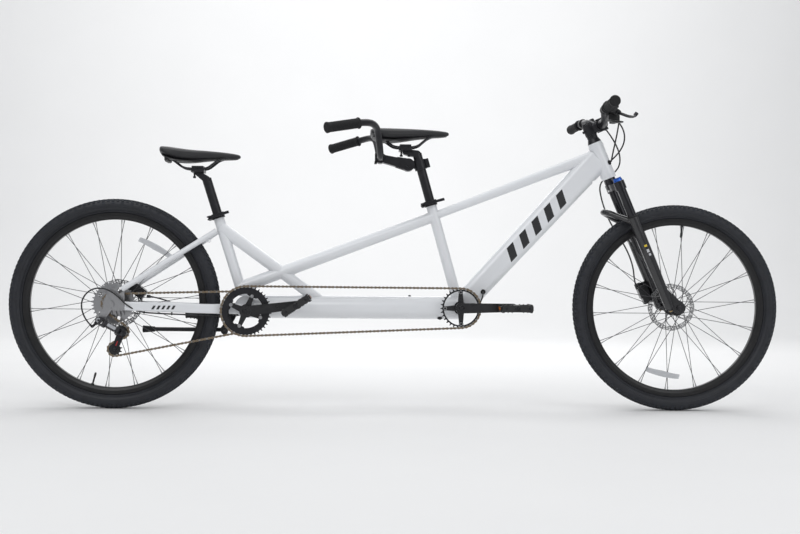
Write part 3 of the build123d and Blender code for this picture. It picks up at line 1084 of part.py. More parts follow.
# pivots of the parallelogram: square to the links, leaning so that the cage
# moves inboard and down together
shift_dir = Vector(0, 0.9, -0.436)
shift_dir = (shift_dir - link_dir * shift_dir.dot(link_dir)).normalized()
link_ax = link_dir.cross(shift_dir).normalized()
B_PIVOT = Vector(-943.5, -92.0, 281.5)
LINK_LEN = 48.0
P_PIVOT = B_PIVOT + link_dir * LINK_LEN
with BuildPart() as derailleur_b_knuckle:
    # hanger bolt and knuckle, outside the hanger
    yrod(B_KNUCKLE[0], B_KNUCKLE[1], -73.6, -92, 11.0)
    yrod(B_KNUCKLE[0], B_KNUCKLE[1], -92, -94.5, 8.0)
    yrod(B_KNUCKLE[0], B_KNUCKLE[1], -73.6, -60.5, 5.0)
    # lug that carries the upper link pivot
    for w in (8.3, -12.3):
        rod(B_PIVOT + link_ax * w, B_PIVOT + link_ax * (w + 4.0), 7.0)
    with Locations(Plane(origin=B_PIVOT + link_ax * 10.3 - link_dir * 9, x_dir=link_dir, z_dir=link_ax).location):
        Box(18, 12, 4)
    with Locations(Plane(origin=B_PIVOT - link_ax * 10.3 - link_dir * 9, x_dir=link_dir, z_dir=link_ax).location):
        Box(18, 12, 4)
    with Locations(Plane(origin=B_PIVOT - link_dir * 15, x_dir=link_dir, z_dir=link_ax).location):
        Box(8, 14, 24.6)
    rod(B_PIVOT - link_ax * 12.5, B_PIVOT + link_ax * 12.5, 2.5)
    # cable stop and barrel adjuster behind the knuckle
    rod((-962, -83, 292), (-974, -83, 280), 6.5)
    rod((-972, -83, 282), (-983.5, -83, 270.5), 4.0, mode=Mode.ADD)
write(derailleur_b_knuckle.part, "derailleur_b_knuckle")

with BuildPart() as derailleur_links:
    with Locations(Plane(origin=B_PIVOT + link_dir * (LINK_LEN / 2), x_dir=link_dir, z_dir=link_ax).location):
        Box(LINK_LEN, 14, 15.6)
    for c in (B_PIVOT, P_PIVOT):
        rod(c - link_ax * 7.8, c + link_ax * 7.8, 7.0)
    # the space between the two plates
    with Locations(Plane(origin=B_PIVOT + link_dir * (LINK_LEN / 2), x_dir=link_dir, z_dir=link_ax).location):
        Box(LINK_LEN - 18, 6.5, 30, mode=Mode.SUBTRACT)
    for c in (B_PIVOT, P_PIVOT):
        rod(c - link_ax * 12, c + link_ax * 12, 2.55, mode=Mode.SUBTRACT)
write(derailleur_links.part, "derailleur_links")

GD, TN = GUIDE, TENSION
with BuildPart() as derailleur_cage:
    # knuckle at the lower end of the links, then the two cage plates
    for w in (8.3, -12.3):
        rod(P_PIVOT + link_ax * w, P_PIVOT + link_ax * (w + 4.0), 7.0)
    for w in (10.3, -10.3):
        with Locations(Plane(origin=P_PIVOT + link_ax * w + link_dir * 9, x_dir=link_dir, z_dir=link_ax).location):
            Box(18, 12, 4)
    with Locations(Plane(origin=P_PIVOT + link_dir * 15, x_dir=link_dir, z_dir=link_ax).location):
        Box(8, 14, 24.6)
    rod(P_PIVOT - link_ax * 12.5, P_PIVOT + link_ax * 12.5, 2.5)
    yrod(GD[0] + 11.5, GD[1] - 4, -84, -58.4, 9.5)
    for y0, y1 in ((-58.4, -56.4), (-47.6, -45.6)):
        hull_prism([(GD[0], GD[1], 12), (TN[0], TN[1], 9)], y0, y1)
    # pulley bolts, fixed in both plates
    for c in (GD, TN):
        yrod(c[0], c[1], -57, -47, 2.9)
        yrod(c[0], c[1], -60, -57, 5.0)
        yrod(c[0], c[1], -47, -44.6, 5.0)
write(derailleur_cage.part, "derailleur_cage")


def pulley(c):
    poly_prism(sprocket_points(T_PULLEY, c[0], c[1], phase=0.2, tip=2.2), Y_DRIVE - 1.2, Y_DRIVE + 1.2)
    yrod(c[0], c[1], Y_DRIVE - 3.6, Y_DRIVE + 3.6, 8.0)
    yrod(c[0], c[1], Y_DRIVE - 10, Y_DRIVE + 10, 2.95, mode=Mode.SUBTRACT)


with BuildPart() as guide_pulley:
    pulley(GD)
write(guide_pulley.part, "guide_pulley")
with BuildPart() as tension_pulley:
    pulley(TN)
write(tension_pulley.part, "tension_pulley")

# ======================================================================= chains
TIMING_CIRCLES = [(BB_R[0], BB_R[1], pitch_r(T_TIMING_R), 1), (BB_F[0], BB_F[1], pitch_r(T_TIMING_F), 1)]
DRIVE_CIRCLES = [(AXLE_R[0], AXLE_R[1], pitch_r(16), 1), (BB_R[0], BB_R[1], pitch_r(T_DRIVE), 1), (TN[0], TN[1], pitch_r(T_PULLEY), 1), (GD[0], GD[1], pitch_r(T_PULLEY), -1)]
with BuildPart() as timing_chain:
    chain_band(TIMING_CIRCLES, Y_TIMING)
write(timing_chain.part, "timing_chain")
with BuildPart() as drive_chain:
    chain_band(DRIVE_CIRCLES, Y_DRIVE)
write(drive_chain.part, "drive_chain")

# ==================================================================== kickstand
KS_PIVOT = Vector(-578, 52, 257)
KS_D0 = Vector(-1, 0.055, 0.0).normalized()
KS_D1 = Vector(0.15, 0.35, -0.92).normalized()
KS_AX = Vector(0.1559, -0.980, -0.1247).normalized()
KS_LEN = 272.0
with BuildPart() as kickstand_bracket:
    # clamp block under the plate between the chainstays, and a drop arm
    with Locations(Location((-550, 0, 315.4))):
        Box(34, 50, 9.4)
    with Locations(Location((-550, 0, 343.4))):
        Box(30, 44, 9.0)
    rod((-550, 0, 306), (-550, 0, 312), 8.0)
    hull_prism([(-550, 300, 11), (KS_PIVOT.X + 2, KS_PIVOT.Z + 2, 12)], 30.5, 40)
    with Locations(Location((-549, 26, 306))):
        Box(26, 28, 10)
    rod(KS_PIVOT + KS_AX * 26, KS_PIVOT + KS_AX * 9.4, 12.0)
    rod(KS_PIVOT + KS_AX * 24, KS_PIVOT - KS_AX * 12.0, 5.0)
    rod(KS_PIVOT - KS_AX * 9.6, KS_PIVOT - KS_AX * 13.0, 8.0)
    add(rear_stays.part, mode=Mode.SUBTRACT)
write(kickstand_bracket.part, "kickstand_bracket")

with BuildPart() as kickstand_leg:
    rod(KS_PIVOT - KS_AX * 9.0, KS_PIVOT + KS_AX * 9.0, 12.5)
    rod(KS_PIVOT + KS_D0 * 5, KS_PIVOT + KS_D0 * (KS_LEN - 30), 6.8)
    rod(KS_PIVOT - KS_AX * 15, KS_PIVOT + KS_AX * 15, 5.06, mode=Mode.SUBTRACT)
    # rubber foot, pushed on over the tube's end
    rod(KS_PIVOT + KS_D0 * (KS_LEN - 34), KS_PIVOT + KS_D0 * KS_LEN, 9.0, 12.0)
write(kickstand_leg.part, "kickstand_leg")

# ======================================================================= cables
PORT = fl(17.5, -18.0, -70.0)
BRAKE_HOSE = [fl(53, 118, 75.5), fl(58, 80, 66), fl(62, 44, 46), fl(63, 16, 14), fl(66, 4, -22), fl(66, 6, -60), fl(55, 20, -94), fl(28, 37, -111), fl(-4, 40, -112), fl(-30, 43, -130), fl(-39, 45, -168), fl(-43, 46, -214), fl(-42, 48, -262), fl(-31, 54, -310), fl(-24, 57, -350), fl(-21, 58, -392), fl(-25, 58, -434), fl(-36, 55, -466), fl(-40, 52.5, -486)]
SHIFT_HOUSING = [fl(62, -186, 88), fl(72, -158, 70), fl(74, -122, 46), fl(66, -88, 18), fl(52, -58, -14), fl(36, -36, -44), (PORT + Vector(4.5, -5, 2))]
REAR_HOSE = [fl(53, -118, 75.5), fl(68, -98, 58), fl(83, -82, 30), fl(88, -68, 0), fl(80, -52, -28), fl(58, -38, -50), fl(34, -27, -62), (PORT + Vector(3.0, -2.0, 4.0))]
with BuildPart() as front_brake_hose:
    tube_path([tuple(p) for p in BRAKE_HOSE], 2.5, name="front brake hose")
    add(front_caliper.part, mode=Mode.SUBTRACT)
    add(control_pods.part, mode=Mode.SUBTRACT)
write(front_brake_hose.part, "front_brake_hose")
with BuildPart() as bar_cables:
    tube_path([tuple(p) for p in SHIFT_HOUSING], 2.5, name="shift housing, bar to frame")
    tube_path([tuple(p) for p in REAR_HOSE], 2.5, name="rear brake hose, bar to frame")
    add(control_pods.part, mode=Mode.SUBTRACT)
    add(right_brake_lever.part, mode=Mode.SUBTRACT)
write(bar_cables.part, "bar_cables")

SHIFT_LOOP = [(-560, -24, 305), (-640, -46.5, 309.5), (-720, -54, 311.5), (-790, -60, 314.5), (-838, -68, 318.5), (-876, -80, 340), (-905, -88, 372), (-938, -93, 394), (-974, -95, 396), (-1004, -94, 378), (-1019, -91, 346), (-1013, -87, 310), (-997, -84, 283.5), (-983, -83, 270)]
REAR_CAL_HOSE = [(-560, 20, 307), (-620, 47, 309), (-680, 60, 316), (-730, 66, 334), (-762, 68, 349), (-800, 66.5, 361), (-826, 64.5, 366.0)]
with BuildPart() as cable_run:
    tube_path(SHIFT_LOOP, 2.5, name="rear shift housing")
    tube_path(REAR_CAL_HOSE, 2.5, name="rear brake hose, frame to caliper")
    # cable ties that hold the housing under the right chainstay
    # port grommets: head tube, down tube foot, boom underside
    rod(PORT - (PORT - fl(0, 0, -70)).normalized() * 1.0, PORT + (PORT - fl(0, 0, -70)).normalized() * 3.0, 7.0)
    rod((282, -27.4, 392), (282, -31, 392), 7.5)
    rod((139.9, -20, 305.0), (139.9, -21, 299.5), 8.0)
    rod((139.9, 20, 305.0), (139.9, 21, 299.5), 8.0)
    rod((39.8, 0, BOOM_Z + BOOM_R + 0.05), (39.8, 0, BOOM_Z + BOOM_R + 5), 4.5)
    # short housing from the down tube's foot into the boom
    tube_path([(282, -30, 392), (279, -46, 380), (274, -50, 364), (262, -46, 344), (246, -34, 326)], 2.5, name="housing at the front crank")
    rod(seat_point(BB_F, SEAT_F_DEG, 0), seat_point(BB_F, SEAT_F_DEG, 20), 2.0, mode=Mode.SUBTRACT)
    add(rear_stays.part, mode=Mode.SUBTRACT)
    add(boom_tube.part, mode=Mode.SUBTRACT)
    add(down_tube.part, mode=Mode.SUBTRACT)
    add(head_tube.part, mode=Mode.SUBTRACT)
    add(bottom_brackets.part, mode=Mode.SUBTRACT)
    add(kickstand_bracket.part, mode=Mode.SUBTRACT)
    add(derailleur_b_knuckle.part, mode=Mode.SUBTRACT)
    add(rear_caliper.part, mode=Mode.SUBTRACT)
write(cable_run.part, "cable_run")
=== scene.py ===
import math
import bmesh
import bpy
import numpy as np
from mathutils import Matrix, Vector


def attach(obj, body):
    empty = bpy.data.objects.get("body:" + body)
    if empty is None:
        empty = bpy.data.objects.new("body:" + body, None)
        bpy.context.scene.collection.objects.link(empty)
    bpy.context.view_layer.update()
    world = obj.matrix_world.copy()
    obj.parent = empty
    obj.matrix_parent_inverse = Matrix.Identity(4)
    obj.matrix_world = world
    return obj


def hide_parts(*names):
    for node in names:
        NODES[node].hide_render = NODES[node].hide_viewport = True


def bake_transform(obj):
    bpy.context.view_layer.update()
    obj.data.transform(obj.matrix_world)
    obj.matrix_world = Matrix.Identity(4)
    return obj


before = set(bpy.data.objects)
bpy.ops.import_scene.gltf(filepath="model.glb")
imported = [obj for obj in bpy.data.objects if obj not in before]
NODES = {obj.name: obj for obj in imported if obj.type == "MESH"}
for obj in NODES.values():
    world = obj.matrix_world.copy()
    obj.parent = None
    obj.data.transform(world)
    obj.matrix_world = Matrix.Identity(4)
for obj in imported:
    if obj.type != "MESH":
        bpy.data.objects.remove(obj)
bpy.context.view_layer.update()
S = 0.001                                    # the tables below are in millimetres

# ------------------------------------------------------------------ camera
scn = bpy.context.scene
cam_data = bpy.data.cameras.new("camera")
cam = bpy.data.objects.new("camera", cam_data)
scn.collection.objects.link(cam)
cam_data.sensor_width = 36.0
cam_data.lens = 49.82
yaw, pitch, roll = 0.039, math.radians(0.32), math.radians(0.50)
fwd = Vector((math.sin(yaw), math.cos(yaw), 0))
right = Vector((math.cos(yaw), -math.sin(yaw), 0))
upv = Vector((0, 0, 1))
f2 = fwd * math.cos(pitch) + upv * math.sin(pitch)
u2 = -fwd * math.sin(pitch) + upv * math.cos(pitch)
r3 = right * math.cos(roll) + u2 * math.sin(roll)
u3 = -right * math.sin(roll) + u2 * math.cos(roll)
m = Matrix((r3, u3, -f2)).transposed().to_4x4()
m.translation = Vector((-0.1363, -3.6762, 0.4513))
cam.matrix_world = m
cam_data.clip_end = 60
scn.camera = cam

# ---------------------------------------------------------------- materials


def node(nt, kind, **kw):
    n = nt.nodes.new(kind)
    for k, v in kw.items():
        setattr(n, k, v)
    return n


def mat(name, base, rough=0.45, metal=0.0, coat=0.0, coat_rough=0.08, var=0.10, scale=40.0, rvar=0.08, bump=0.0, bscale=900.0, stretch=None, spec=None, sheen=0.0, transmission=0.0, kind="noise", dist=0.0004):
    """A Principled material with colour, roughness and bump broken up by noise."""
    mt = bpy.data.materials.new(name)
    mt.use_nodes = True
    nt = mt.node_tree
    b = nt.nodes["Principled BSDF"]
    b.inputs["Metallic"].default_value = metal
    b.inputs["Coat Weight"].default_value = coat
    b.inputs["Coat Roughness"].default_value = coat_rough
    b.inputs["Sheen Weight"].default_value = sheen
    b.inputs["Transmission Weight"].default_value = transmission
    if spec is not None:
        b.inputs["Specular IOR Level"].default_value = spec
    tc = node(nt, "ShaderNodeTexCoord")
    mp = node(nt, "ShaderNodeMapping")
    if stretch:
        mp.inputs["Scale"].default_value = stretch
    nt.links.new(tc.outputs["Object"], mp.inputs["Vector"])
    nz = node(nt, "ShaderNodeTexNoise")
    nz.inputs["Scale"].default_value = scale
    nz.inputs["Detail"].default_value = 5.0
    nt.links.new(mp.outputs["Vector"], nz.inputs["Vector"])
    cr = node(nt, "ShaderNodeValToRGB")
    c0 = tuple(max(0.0, c * (1 - var)) for c in base) + (1,)
    c1 = tuple(min(1.0, c * (1 + var) + var * 0.004) for c in base) + (1,)
    cr.color_ramp.elements[0].position = 0.3
    cr.color_ramp.elements[1].position = 0.7
    cr.color_ramp.elements[0].color = c0
    cr.color_ramp.elements[1].color = c1
    nt.links.new(nz.outputs["Fac"], cr.inputs["Fac"])
    nt.links.new(cr.outputs["Color"], b.inputs["Base Color"])
    mr = node(nt, "ShaderNodeMapRange")
    mr.inputs["To Min"].default_value = max(0.02, rough - rvar)
    mr.inputs["To Max"].default_value = min(1.0, rough + rvar)
    nt.links.new(nz.outputs["Fac"], mr.inputs["Value"])
    nt.links.new(mr.outputs["Result"], b.inputs["Roughness"])
    if bump:
        if kind == "voronoi":
            bz = node(nt, "ShaderNodeTexVoronoi")
            bz.inputs["Scale"].default_value = bscale
            out = bz.outputs["Distance"]
        else:
            bz = node(nt, "ShaderNodeTexNoise")
            bz.inputs["Scale"].default_value = bscale
            bz.inputs["Detail"].default_value = 3.0
            out = bz.outputs["Fac"]
        nt.links.new(mp.outputs["Vector"], bz.inputs["Vector"])
        bp = node(nt, "ShaderNodeBump")
        bp.inputs["Strength"].default_value = bump
        bp.inputs["Distance"].default_value = dist
        nt.links.new(out, bp.inputs["Height"])
        nt.links.new(bp.outputs["Normal"], b.inputs["Normal"])
    return mt


def math_node(nt, op, a, b=None, clamp=False):
    n = node(nt, "ShaderNodeMath", operation=op, use_clamp=clamp)
    for i, v in enumerate((a, b)):
        if v is None:
            continue
        if isinstance(v, (int, float)):
            n.inputs[i].default_value = v
        else:
            nt.links.new(v, n.inputs[i])
    return n.outputs[0]


def bars(mt, origin, along, across, u0, u1, half, pitch_, duty, slant, ink=(0.012, 0.012, 0.014)):
    """Prints plain slanted bars over a material's colour, between u0 and u1 along a line."""
    nt = mt.node_tree
    b = nt.nodes["Principled BSDF"]
    old = b.inputs["Base Color"].links[0].from_socket
    tc = node(nt, "ShaderNodeTexCoord")
    outs = []
    for d in (along, across):
        sub = node(nt, "ShaderNodeVectorMath", operation="SUBTRACT")
        nt.links.new(tc.outputs["Object"], sub.inputs[0])
        sub.inputs[1].default_value = origin
        dot = node(nt, "ShaderNodeVectorMath", operation="DOT_PRODUCT")
        nt.links.new(sub.outputs[0], dot.inputs[0])
        dot.inputs[1].default_value = d
        outs.append(dot.outputs["Value"])
    u, v = outs
    w = math_node(nt, "ADD", u, math_node(nt, "MULTIPLY", v, slant))
    fr = math_node(nt, "FRACT", math_node(nt, "DIVIDE", math_node(nt, "SUBTRACT", w, u0), pitch_))
    k = math_node(nt, "LESS_THAN", fr, duty)
    k = math_node(nt, "MULTIPLY", k, math_node(nt, "GREATER_THAN", w, u0))
    k = math_node(nt, "MULTIPLY", k, math_node(nt, "LESS_THAN", w, u1))
    k = math_node(nt, "MULTIPLY", k, math_node(nt, "LESS_THAN", math_node(nt, "ABSOLUTE", v), half))
    mx = node(nt, "ShaderNodeMix", data_type="RGBA")
    nt.links.new(k, mx.inputs["Factor"])
    nt.links.new(old, mx.inputs["A"])
    mx.inputs["B"].default_value = ink + (1,)
    nt.links.new(mx.outputs["Result"], b.inputs["Base Color"])
    return mt


PAINT = dict(rough=0.30, coat=0.7, coat_rough=0.06, var=0.015, scale=6.0, rvar=0.04, bump=0.04, bscale=420.0, spec=0.45)
WHITE = (0.76, 0.775, 0.80)
M = {
    "paint": mat("frame_paint", WHITE, **PAINT),
    "paint_dt": mat("frame_paint_barred", WHITE, **PAINT),
    "paint_cs": mat("stay_paint_barred", WHITE, **PAINT),
    "gloss": mat("black_gloss", (0.010, 0.010, 0.012), rough=0.20, coat=0.6, var=0.25, rvar=0.05, bump=0.03, bscale=500),
    "satin": mat("black_anodised", (0.014, 0.014, 0.017), rough=0.34, metal=0.35, var=0.22, scale=90, rvar=0.07, bump=0.05, bscale=1600),
    "forged": mat("black_forged", (0.013, 0.013, 0.015), rough=0.30, metal=0.25, coat=0.25, var=0.25, scale=70, rvar=0.08, bump=0.08, bscale=700),
    "plastic": mat("black_plastic", (0.014, 0.014, 0.015), rough=0.50, var=0.2, scale=120, bump=0.16, bscale=2200, dist=0.0002),
    "rubber": mat("black_rubber", (0.012, 0.012, 0.013), rough=0.72, var=0.25, scale=150, bump=0.22, bscale=1800, dist=0.0002, spec=0.35),
    "tread": mat("tyre_tread", (0.016, 0.0185, 0.025), rough=0.66, var=0.28, scale=60, rvar=0.10, bump=0.25, bscale=1500, dist=0.0002, spec=0.4),
    "sidewall": mat("tyre_sidewall", (0.0125, 0.014, 0.019), rough=0.50, var=0.25, scale=30, rvar=0.08, bump=0.18, bscale=1300, dist=0.0002, spec=0.45),
    "rim": mat("rim_black", (0.011, 0.011, 0.012), rough=0.33, metal=0.3, var=0.2, scale=50, rvar=0.05, bump=0.04, bscale=900),
    "steel": mat("steel", (0.40, 0.40, 0.41), rough=0.30, metal=1.0, var=0.05, scale=420, rvar=0.05, bump=0.05, bscale=2600, stretch=(1, 1, 0.2)),
    "spoke": mat("spoke_steel", (0.085, 0.085, 0.09), rough=0.36, metal=1.0, var=0.15, scale=80, bump=0.03, bscale=1800),
    "rotor": mat("rotor_steel", (0.40, 0.40, 0.405), rough=0.34, metal=1.0, var=0.12, scale=240, rvar=0.12, bump=0.08, bscale=3200),
    "chain_out": mat("chain_outer", (0.24, 0.185, 0.125), rough=0.36, metal=0.9, var=0.25, scale=300, rvar=0.12, bump=0.06, bscale=3000),
    "chain_in": mat("chain_inner", (0.30, 0.29, 0.275), rough=0.34, metal=0.95, var=0.2, scale=300, rvar=0.12, bump=0.06, bscale=3000),
    "pin": mat("chain_pin", (0.16, 0.15, 0.14), rough=0.36, metal=0.9, var=0.2, scale=400, bump=0.05, bscale=3000),
    "leather": mat("saddle_cover", (0.0125, 0.0125, 0.0145), rough=0.46, var=0.22, scale=28, rvar=0.07, bump=0.30, bscale=620, kind="voronoi", dist=0.0003, sheen=0.15, spec=0.42),
    "leather_side": mat("saddle_side", (0.010, 0.010, 0.012), rough=0.36, var=0.25, scale=40, rvar=0.06, bump=0.16, bscale=900, dist=0.0002),
    "thread": mat("stitching", (0.055, 0.055, 0.06), rough=0.65, var=0.3, scale=900, bump=0.3, bscale=6000, dist=0.0001),
    "amber": mat("amber_reflector", (0.85, 0.22, 0.015), rough=0.18, var=0.12, scale=500, bump=0.35, bscale=700, kind="voronoi", transmission=0.35, dist=0.0005),
    "clear": mat("clear_reflector", (0.86, 0.88, 0.90), rough=0.22, var=0.05, scale=300, bump=0.35, bscale=520, kind="voronoi", transmission=0.45, dist=0.0005),
    "blue": mat("blue_anodised", (0.03, 0.12, 0.52), rough=0.28, metal=0.7, var=0.15, scale=150, bump=0.05, bscale=1500),
    "brass": mat("brass_bolt", (0.50, 0.34, 0.14), rough=0.30, metal=1.0, var=0.15, scale=200, bump=0.06, bscale=1800),
    "grey": mat("grey_cap", (0.34, 0.35, 0.37), rough=0.32, metal=0.4, var=0.12, scale=120, bump=0.05, bscale=1400),
    "bolt": mat("bolt_black", (0.035, 0.035, 0.038), rough=0.28, metal=0.8, var=0.2, scale=260, bump=0.05, bscale=2000),
    "stanchion": mat("stanchion_black", (0.022, 0.022, 0.026), rough=0.13, metal=0.75, coat=0.3, var=0.15, scale=60, rvar=0.04, bump=0.02, bscale=2000),
    "cable": mat("cable_jacket", (0.012, 0.012, 0.014), rough=0.36, var=0.2, scale=200, bump=0.08, bscale=2400, dist=0.0001),
    "yellow": mat("mark_yellow", (0.72, 0.52, 0.03), rough=0.4, var=0.06, scale=200, bump=0.03, bscale=900),
    "pale": mat("mark_grey", (0.52, 0.53, 0.55), rough=0.4, var=0.06, scale=200, bump=0.03, bscale=900),
    "red": mat("mark_red", (0.45, 0.02, 0.02), rough=0.35, var=0.1, scale=200, bump=0.03, bscale=900),
    "floor": mat("studio_floor", (0.86, 0.86, 0.86), rough=0.75, var=0.01, scale=1.5, rvar=0.03, bump=0.02, bscale=60),
}
DT_O = (0.2057, 0.0, 0.3383)
DT_D = (math.cos(math.radians(47.36)), 0.0, math.sin(math.radians(47.36)))
DT_N = (-DT_D[2], 0.0, DT_D[0])
bars(M["paint_dt"], DT_O, DT_D, DT_N, 0.238, 0.538, 0.0215, 0.0600, 0.50, -0.55)
bars(M["paint_cs"], (-0.80, 0.0, 0.3335), (1, 0, 0), (0, 0, 1), 0.004, 0.078, 0.0062, 0.0156, 0.50, -0.55)

# ------------------------------------------------------- CAD nodes that stay
CAD_MATS = {
    "head_tube": "paint", "top_tube": "paint", "down_tube": "paint_dt", "seat_tubes": "paint", "lateral_tube": "paint",
    "boom_tube": "paint", "diagonal_tube": "paint", "rear_stays": "paint_cs", "dropouts": "steel", "bottom_brackets": "satin",
    "seat_collars": "satin", "rear_caliper": "forged", "derailleur_b_knuckle": "satin", "kickstand_bracket": "satin",
    "fork_upper": "stanchion", "stem": "satin", "control_pods": "plastic", "left_brake_lever": "satin", "right_brake_lever": "satin",
    "shift_lever": "plastic", "fork_knob": "blue", "fork_lowers": "gloss", "front_caliper": "forged", "front_rim": "rim",
    "rear_rim": "rim", "front_spokes": "spoke", "rear_spokes": "spoke", "cassette": "steel", "rear_crankset": "forged",
    "rear_chainrings": "satin", "front_crankset": "forged", "front_timing_ring": "satin", "front_right_pedal": "plastic",
    "front_left_pedal": "plastic", "rear_right_pedal": "plastic", "rear_left_pedal": "plastic", "front_seatpost": "satin",
    "rear_seatpost": "satin", "stoker_stem_clamp": "satin", "stoker_stem_arm": "satin", "front_seat_lever": "satin",
    "rear_seat_lever": "satin", "kickstand_leg": "satin", "derailleur_links": "satin", "derailleur_cage": "satin",
    "guide_pulley": "plastic", "tension_pulley": "plastic"}


def shade(o, deg=32.0):
    me = o.data
    me.polygons.foreach_set("use_smooth", [True] * len(me.polygons))
    me.set_sharp_from_angle(angle=math.radians(deg))
    me.update()


for n, o in NODES.items():
    key = CAD_MATS.get(n, "satin")
    o.data.materials.clear()
    o.data.materials.append(M[key])

# ----------------------------------------------------------- mesh-code tools


class Mesh:
    """Collects rings, prisms and tubes, in millimetres, and makes one object of them."""

    def __init__(self):
        self.v, self.f, self.fm = [], [], []
        self.mi = 0

    def add(self, verts, faces):
        k = len(self.v)
        self.v.extend([tuple(float(c) for c in p) for p in verts])
        for f in faces:
            self.f.append([k + i for i in f])
            self.fm.append(self.mi)

    def rings(self, rings, cap0=True, cap1=True, close=False):
        n = len(rings[0])
        verts = [p for r in rings for p in r]
        faces = []
        last = len(rings) if close else len(rings) - 1
        for i in range(last):
            a, b = i * n, ((i + 1) % len(rings)) * n
            for j in range(n):
                k = (j + 1) % n
                faces.append((a + j, a + k, b + k, b + j))
        if not close:
            if cap0:
                faces.append(tuple(range(n - 1, -1, -1)))
            if cap1:
                e = (len(rings) - 1) * n
                faces.append(tuple(e + j for j in range(n)))
        self.add(verts, faces)

    def lathe(self, origin, axis, profile, n=40, close=False):
        """Profile is (distance along axis, radius) pairs."""
        o = np.array(origin, float)
        w = np.array(axis, float)
        w /= np.linalg.norm(w)
        u = np.cross(w, (0, 0, 1)) if abs(w[2]) < 0.9 else np.cross(w, (1, 0, 0))
        u /= np.linalg.norm(u)
        v = np.cross(w, u)
        rings = []
        for d, r in profile:
            rings.append([o + w * d + (u * math.cos(t) + v * math.sin(t)) * max(r, 0.01) for t in [2 * math.pi * i / n for i in range(n)]])
        self.rings(rings, close=close)

    def rod(self, p, q, r, r2=None, n=20, bev=0.0):
        p, q = np.array(p, float), np.array(q, float)
        ln = np.linalg.norm(q - p)
        r2 = r if r2 is None else r2
        if bev:
            prof = [(0, r - bev), (bev * 0.3, r - bev * 0.3), (bev, r), (ln - bev, r2), (ln - bev * 0.3, r2 - bev * 0.3), (ln, r2 - bev)]
        else:
            prof = [(0, r), (ln, r2)]
        self.lathe(p, q - p, prof, n)

    def tube(self, pts, r, n=14, caps=True):
        pts = [np.array(p, float) for p in pts]
        tang = []
        for i in range(len(pts)):
            a, b = pts[max(0, i - 1)], pts[min(len(pts) - 1, i + 1)]
            t = b - a
            tang.append(t / max(1e-9, np.linalg.norm(t)))
        u = np.cross(tang[0], (0, 0, 1))
        if np.linalg.norm(u) < 0.1:
            u = np.cross(tang[0], (0, 1, 0))
        u /= np.linalg.norm(u)
        rings = []
        for i, p in enumerate(pts):
            t = tang[i]
            u = u - t * np.dot(u, t)
            u /= np.linalg.norm(u)
            v = np.cross(t, u)
            rr = r[i] if hasattr(r, "__len__") else r
            rings.append([p + (u * math.cos(a) + v * math.sin(a)) * rr for a in [2 * math.pi * k / n for k in range(n)]])
        self.rings(rings, cap0=caps, cap1=caps)

    def prism(self, outline, o, u, v, w, thick):
        """Outline in (u, v) from o, extruded by thick along w."""
        o, u, v, w = (np.array(x, float) for x in (o, u, v, w))
        n = len(outline)
        a = [o + u * p[0] + v * p[1] for p in outline]
        b = [p + w * thick for p in a]
        faces = [tuple(range(n - 1, -1, -1)), tuple(n + i for i in range(n))]
        faces += [(i, (i + 1) % n, n + (i + 1) % n, n + i) for i in range(n)]
        self.add(a + b, faces)

    def obj(self, name, mats, body=None, replaces=(), smooth=32.0, bevel=0.0, subdiv=0, seg=2):
        me = bpy.data.meshes.new(name)
        me.from_pydata([(p[0] * S, p[1] * S, p[2] * S) for p in self.v], [], self.f)
        for k in (mats if isinstance(mats, (list, tuple)) else [mats]):
            me.materials.append(M[k])
        me.polygons.foreach_set("material_index", self.fm)
        me.validate()
        ob = bpy.data.objects.new(name, me)
        scn.collection.objects.link(ob)
        fix = bmesh.new()
        fix.from_mesh(me)
        bmesh.ops.recalc_face_normals(fix, faces=fix.faces)
        fix.to_mesh(me)
        fix.free()
        shade(ob, smooth)
        if bevel:
            bv = ob.modifiers.new("edge", "BEVEL")
            bv.width = bevel * S
            bv.segments = seg
            bv.limit_method = "ANGLE"
            bv.angle_limit = math.radians(38)
            bv.harden_normals = True
        if subdiv:
            sb = ob.modifiers.new("round", "SUBSURF")
            sb.levels = subdiv
            sb.render_levels = subdiv
        if body:
            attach(ob, body)
        if replaces:
            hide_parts(*replaces)
        return ob


def circle(r, n=24, cx=0.0, cy=0.0, ph=0.0):
    return [(cx + r * math.cos(ph + 2 * math.pi * i / n), cy + r * math.sin(ph + 2 * math.pi * i / n)) for i in range(n)]


HD = math.radians(67.2)
ca, sa = math.cos(HD), math.sin(HD)


def fl(x, y, z):
    return np.array([659.0 + sa * x - ca * z, y, 884.4 + ca * x + sa * z])


def fv(x, y, z):
    return np.array([sa * x - ca * z, y, ca * x + sa * z])


def seat_point(bb, deg, d):
    return np.array([bb[0] - d * math.cos(math.radians(deg)), 0.0, bb[1] + d * math.sin(math.radians(deg))])


AF, AR = (929.0, 344.0), (-929.0, 344.0)
BF, BR = (205.7, 338.3), (-495.8, 323.7)

# =================================================================== tyres


